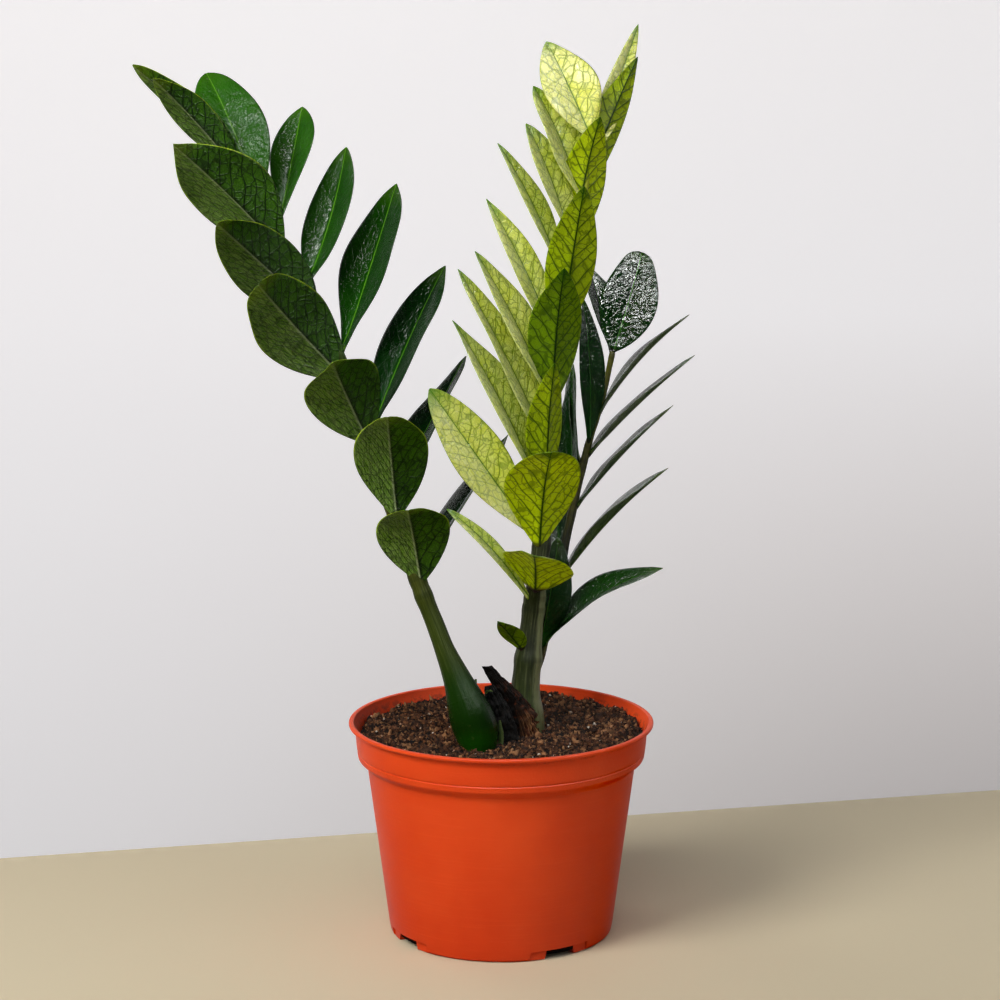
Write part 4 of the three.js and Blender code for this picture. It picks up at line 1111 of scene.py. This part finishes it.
def strip_rows(stations, count, size, wrinkle, seed):
    """Grid of points of a curled strip through its stations, with ragged edges and creases."""
    table = np.array(stations, float)
    ticks = np.linspace(0, len(table) - 1, count)
    smooth = [np.interp(ticks, range(len(table)), table[:, k]) for k in range(6)]
    kernel = np.ones(5) / 5
    smooth = [np.convolve(np.pad(column, 2, mode="edge"), kernel, mode="valid") for column in smooth]
    grid = []
    for k in range(count):
        x, y, z, half, curl, slope = (column[k] for column in smooth)
        ahead = np.array([smooth[i][min(k + 1, count - 1)] - smooth[i][max(k - 1, 0)] for i in range(3)])
        across = unit(np.array([1.0, 0.12, slope]))
        across = unit(across - 0.5 * unit(ahead) * (across @ unit(ahead)))
        outward = unit(np.cross(across, ahead))
        row = []
        for s in np.linspace(-1, 1, size):
            ragged = 1 + 0.16 * noise.noise(Vector((0.5 * z, 3.0 * np.sign(s), seed)))
            place = np.array([x, y, z]) + across * half * ragged * s
            crease = noise.noise(Vector((5.0 * s, 0.22 * z, seed)))
            crease += 0.5 * noise.noise(Vector((11.0 * s, 0.5 * z, seed)))
            row.append(place - outward * curl * s * s + outward * wrinkle * crease)
        grid.append(row)
    return grid


def make_sheaths():
    dry = sheath_material("dry_sheath_fibres", (9, 5, 3), (84, 40, 18), (180, 134, 88), 0.5, 0.5)
    # the scrap's near-black skin is partly painted shade
    scrap_and_shade = sheath_material("dark_scrap_and_shade_skin", (4, 4, 3), (22, 18, 12), (60, 56, 44), 0.5, 0.2)
    fresh = sheath_material("green_scrap_skin", (70, 96, 44), (104, 126, 60), (150, 166, 104), 0.45, 2.0)
    parts = Parts()
    sheet(parts, strip_rows(DRY_SHEATH, 60, 41, 0.9, 4.0), 0.8)
    parts.piece("dry_sheath_wrap", [dry], "dry_sheath", "dry_sheath")
    parts = Parts()
    sheet(parts, strip_rows(DARK_SCRAP_AND_SHADE, 40, 25, 1.6, 9.0), 0.8)
    parts.piece("dark_scrap_and_shade", [scrap_and_shade], "dry_sheath", "dry_sheath")
    parts = Parts()
    for number, stations in enumerate(GREEN_SCRAPS):
        sheet(parts, strip_rows(stations, 18, 9, 0.2, 12.0 + number), 0.5)
    parts.piece("green_sheath_scraps", [fresh], "leaf_dark", "frond_left")


# ---------------------------------------------------------------- rhizome


def dress_rhizome():
    g = Graph("tuber_skin")
    place = g.position()
    rings = g.noise(place, 140, 4.0, 0.6)
    spots = g.noise(place, 600, 3.0)
    colour = g.blend(g.step(rings, 0.35, 0.65), (150, 124, 84), (190, 166, 116))
    colour = g.cover(colour, (96, 70, 46), g.step(spots, 0.6, 0.75), 0.6)
    skin = g.finish(colour, 0.75, relief=rings, depth=0.001)
    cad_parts["rhizome"].data.materials.clear()
    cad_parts["rhizome"].data.materials.append(skin)


# ---------------------------------------------------------------- stage


TABLE_EDGE = ((-360, 109), (360, 279))  # two places on the far edge of the table, x and y
TABLE_REACH = 3000
TABLE_LEVEL = -0.2
TABLE_TONES = ((198, 186, 158), (194, 181, 154))
WALL_DISTANCE = 1900
WALL_REACH = 4000
WALL_TOP = 1250
WALL_TONES = ((236, 234, 236), (233, 230, 232))
WALL_GLOW = 0.47
WALL_BRIGHT = 0.1  # height in metres below which painted shade makes the wall darker
WALL_SPREAD = 0.7  # metres to the left and right between which the darkening changes
WALL_FALL_LEFT = 0.13  # loss of glow for each metre down, on the left
WALL_FALL_RIGHT = 0.58  # and on the right
SCREEN_DEPTH = -1500  # level of the screen under everything
SCREEN_DISTANCE = WALL_DISTANCE + 40  # of the screen behind the wall
SCREEN_TONES = ((236, 234, 236), (230, 228, 231))
SCREEN_GLOW = 0.7


def stage_piece(name, corners, tones):
    """A faintly clouded plane of the surroundings through four corners, with its node tree."""
    g = Graph(name)
    g.finish(g.blend(g.noise(g.position(), 3.0, 2.0), *tones), 0.8, 0.2)
    mesh = bpy.data.meshes.new(name)
    mesh.from_pydata([tuple(value * MM for value in corner) for corner in corners], [], [(0, 1, 2, 3)])
    mesh.materials.append(g.material)
    piece = bpy.data.objects.new(name, mesh)
    bpy.context.scene.collection.objects.link(piece)
    return piece, g


def upright(start, end, first, last):
    """Corners of an upright plane over a line on the ground, between two heights."""
    return [(*start, first), (*end, first), (*end, last), (*start, last)]


def make_backdrop():
    """Pale screens all round that only the camera sees, so that they give no light or reflection."""
    far, behind, deep = WALL_REACH, SCREEN_DISTANCE, SCREEN_DEPTH
    screens = {
        "screen_left": upright((-far, far), (-far, -far), far, -far),
        "screen_right": upright((far, -far), (far, far), far, -far),
        "screen_front": upright((-far, -far), (far, -far), far, -far),
        "screen_back": upright((-far, behind), (far, behind), far, -far),
        "screen_below": [(-far, -far, deep), (far, -far, deep), (far, far, deep), (-far, far, deep)],
    }
    for name, corners in screens.items():
        screen, g = stage_piece(name, corners, SCREEN_TONES)
        glow = g.blend(g.noise(g.position(), 0.6, 2.0), *SCREEN_TONES)
        g.glow(glow, SCREEN_GLOW)
        screen.visible_diffuse = False
        screen.visible_glossy = False
        screen.visible_transmission = False
        screen.visible_shadow = False


def make_table():
    (x0, y0), (x1, y1) = TABLE_EDGE
    slope = (y1 - y0) / (x1 - x0)
    ends = (-TABLE_REACH, TABLE_REACH)
    left, right = (y0 + slope * (x - x0) for x in ends)
    near, level = -TABLE_REACH, TABLE_LEVEL
    corners = [(near, near, level), (TABLE_REACH, near, level),
               (TABLE_REACH, right, level), (near, left, level)]
    table, _ = stage_piece("table_top", corners, TABLE_TONES)
    table.visible_glossy = False


def make_wall():
    """The glowing wall behind the table, with painted shade that makes it darker and warmer low down and
    to the right.
    """
    ends = (-WALL_REACH, WALL_DISTANCE), (WALL_REACH, WALL_DISTANCE)
    _, g = stage_piece("pale_wall", upright(*ends, -WALL_REACH, WALL_TOP), WALL_TONES)
    x, _, z = g.split(g.position())
    drop = g.math("MAXIMUM", g.minus(WALL_BRIGHT, z), 0.0)
    rightness = g.step(x, -WALL_SPREAD, WALL_SPREAD)
    rate = g.scaled(rightness, WALL_FALL_RIGHT - WALL_FALL_LEFT, WALL_FALL_LEFT)
    # painted shade: a warmer, dimmer glow low down that falls faster on the right
    glow = g.cover(WALL_TONES[0], (230, 210, 196), drop, rightness, 1.2)
    g.glow(glow, g.minus(WALL_GLOW, g.times(drop, rate)))


# ---------------------------------------------------------------- camera and lights

CAMERA_PLACE = (-0.00063, -1.576, 0.532)
CAMERA_PITCH = 10.57  # degrees down
SENSOR_WIDTH = 36
FOCAL_LENGTH = 108
CLIP_END = 50

WORLD_COLOUR = (0.95, 0.96, 1.0, 1)
WORLD_STRENGTH = 0.05
WHITE = (1, 1, 1)

# name, place, height of the aim over the pot's middle, size, power, colour; all in metres
SOFT_BOXES = (
    ("key", (-1.5, -1.4, 1.75), 0.15, (1.2, 1.2), 65, (1, 0.985, 0.96)),
    ("top_front", (-0.2, -1.8, 2.0), 0.2, (0.9, 0.6), 12, (1, 0.99, 0.97)),
    ("sky", (0, -0.3, 2.6), 0.2, (2.0, 2.0), 6, WHITE),
    ("fill", (1.7, -1.2, 0.8), 0.2, (1.4, 1.4), 7, (0.96, 0.98, 1)),
    ("rim", (-1.1, 0.9, 1.3), 0.3, (0.5, 0.7), 4, WHITE),
)
GLINTS = (
    ("glint_front", (0.21, -1.52, 1.98), 0.4, (0.45, 0.45), 60, WHITE),
    ("glint_left", (-0.64, -1.21, 2.08), 0.4, (0.4, 0.4), 45, WHITE),
    ("glint_top", (1.41, -0.51, 1.95), 0.4, (0.8, 0.8), 45, WHITE),
    ("glint_right", (1.7, 0.5, 0.9), 0.3, (1.0, 1.0), 3, WHITE),
)


def area_light(name, place, aim, size, power, colour, glint):
    """A soft box; a glint only shows as a reflection, and the other lights show none."""
    light = bpy.data.lights.new(name, "AREA")
    light.shape = "RECTANGLE"
    light.size, light.size_y = size
    light.energy = power
    light.color = colour
    lamp = bpy.data.objects.new(name, light)
    lamp.location = place
    lamp.rotation_euler = (Vector((0, 0, aim)) - Vector(place)).to_track_quat("-Z", "Y").to_euler()
    lamp.visible_diffuse = not glint
    lamp.visible_transmission = not glint
    lamp.visible_glossy = glint
    bpy.context.scene.collection.objects.link(lamp)


def make_camera():
    data = bpy.data.cameras.new("photo_camera")
    data.sensor_fit = "HORIZONTAL"
    data.sensor_width = SENSOR_WIDTH
    data.lens = FOCAL_LENGTH
    data.clip_end = CLIP_END
    camera = bpy.data.objects.new("photo_camera", data)
    camera.location = CAMERA_PLACE
    camera.rotation_euler = (math.radians(90 - CAMERA_PITCH), 0, 0)
    bpy.context.scene.collection.objects.link(camera)
    bpy.context.scene.camera = camera


def make_lights():
    world = bpy.data.worlds.new("studio")
    world.use_nodes = True
    background = world.node_tree.nodes["Background"]
    background.inputs["Color"].default_value = WORLD_COLOUR
    background.inputs["Strength"].default_value = WORLD_STRENGTH
    bpy.context.scene.world = world
    for rows, glint in ((SOFT_BOXES, False), (GLINTS, True)):
        for row in rows:
            area_light(*row, glint)
    bpy.context.scene.view_settings.view_transform = "Standard"


# ---------------------------------------------------------------- the whole plant


def make_fronds():
    rows = (
        ("left", "dark", LEFT_FROND, DARK_UPPER, DARK_LOWER, LEFT_STEM, 100),
        ("middle", "yellow", MIDDLE_FROND, YELLOW_UPPER, YELLOW_LOWER, MIDDLE_STEM, 200),
        ("back", "shade", BACK_FROND, SHADE_UPPER, SHADE_LOWER, BACK_STEM, 300),
    )
    for name, kind, frond, upper, lower, stem_look, seed in rows:
        slot, node = f"leaf_{kind}", f"frond_{name}"
        faces = (("upper", upper), ("lower", lower))
        skins = [leaf_material(f"{slot}_{face}", look, frond) for face, look in faces]
        leaves(f"leaflets_{name}", frond, slot, node, skins, seed)
        stem(f"stem_{name}", frond, slot, node, stem_material(f"stem_{name}_skin", stem_look))


make_camera()
make_lights()
make_table()
make_backdrop()
make_wall()
make_pot()
make_soil()
make_fronds()
make_sheaths()
dress_rhizome()
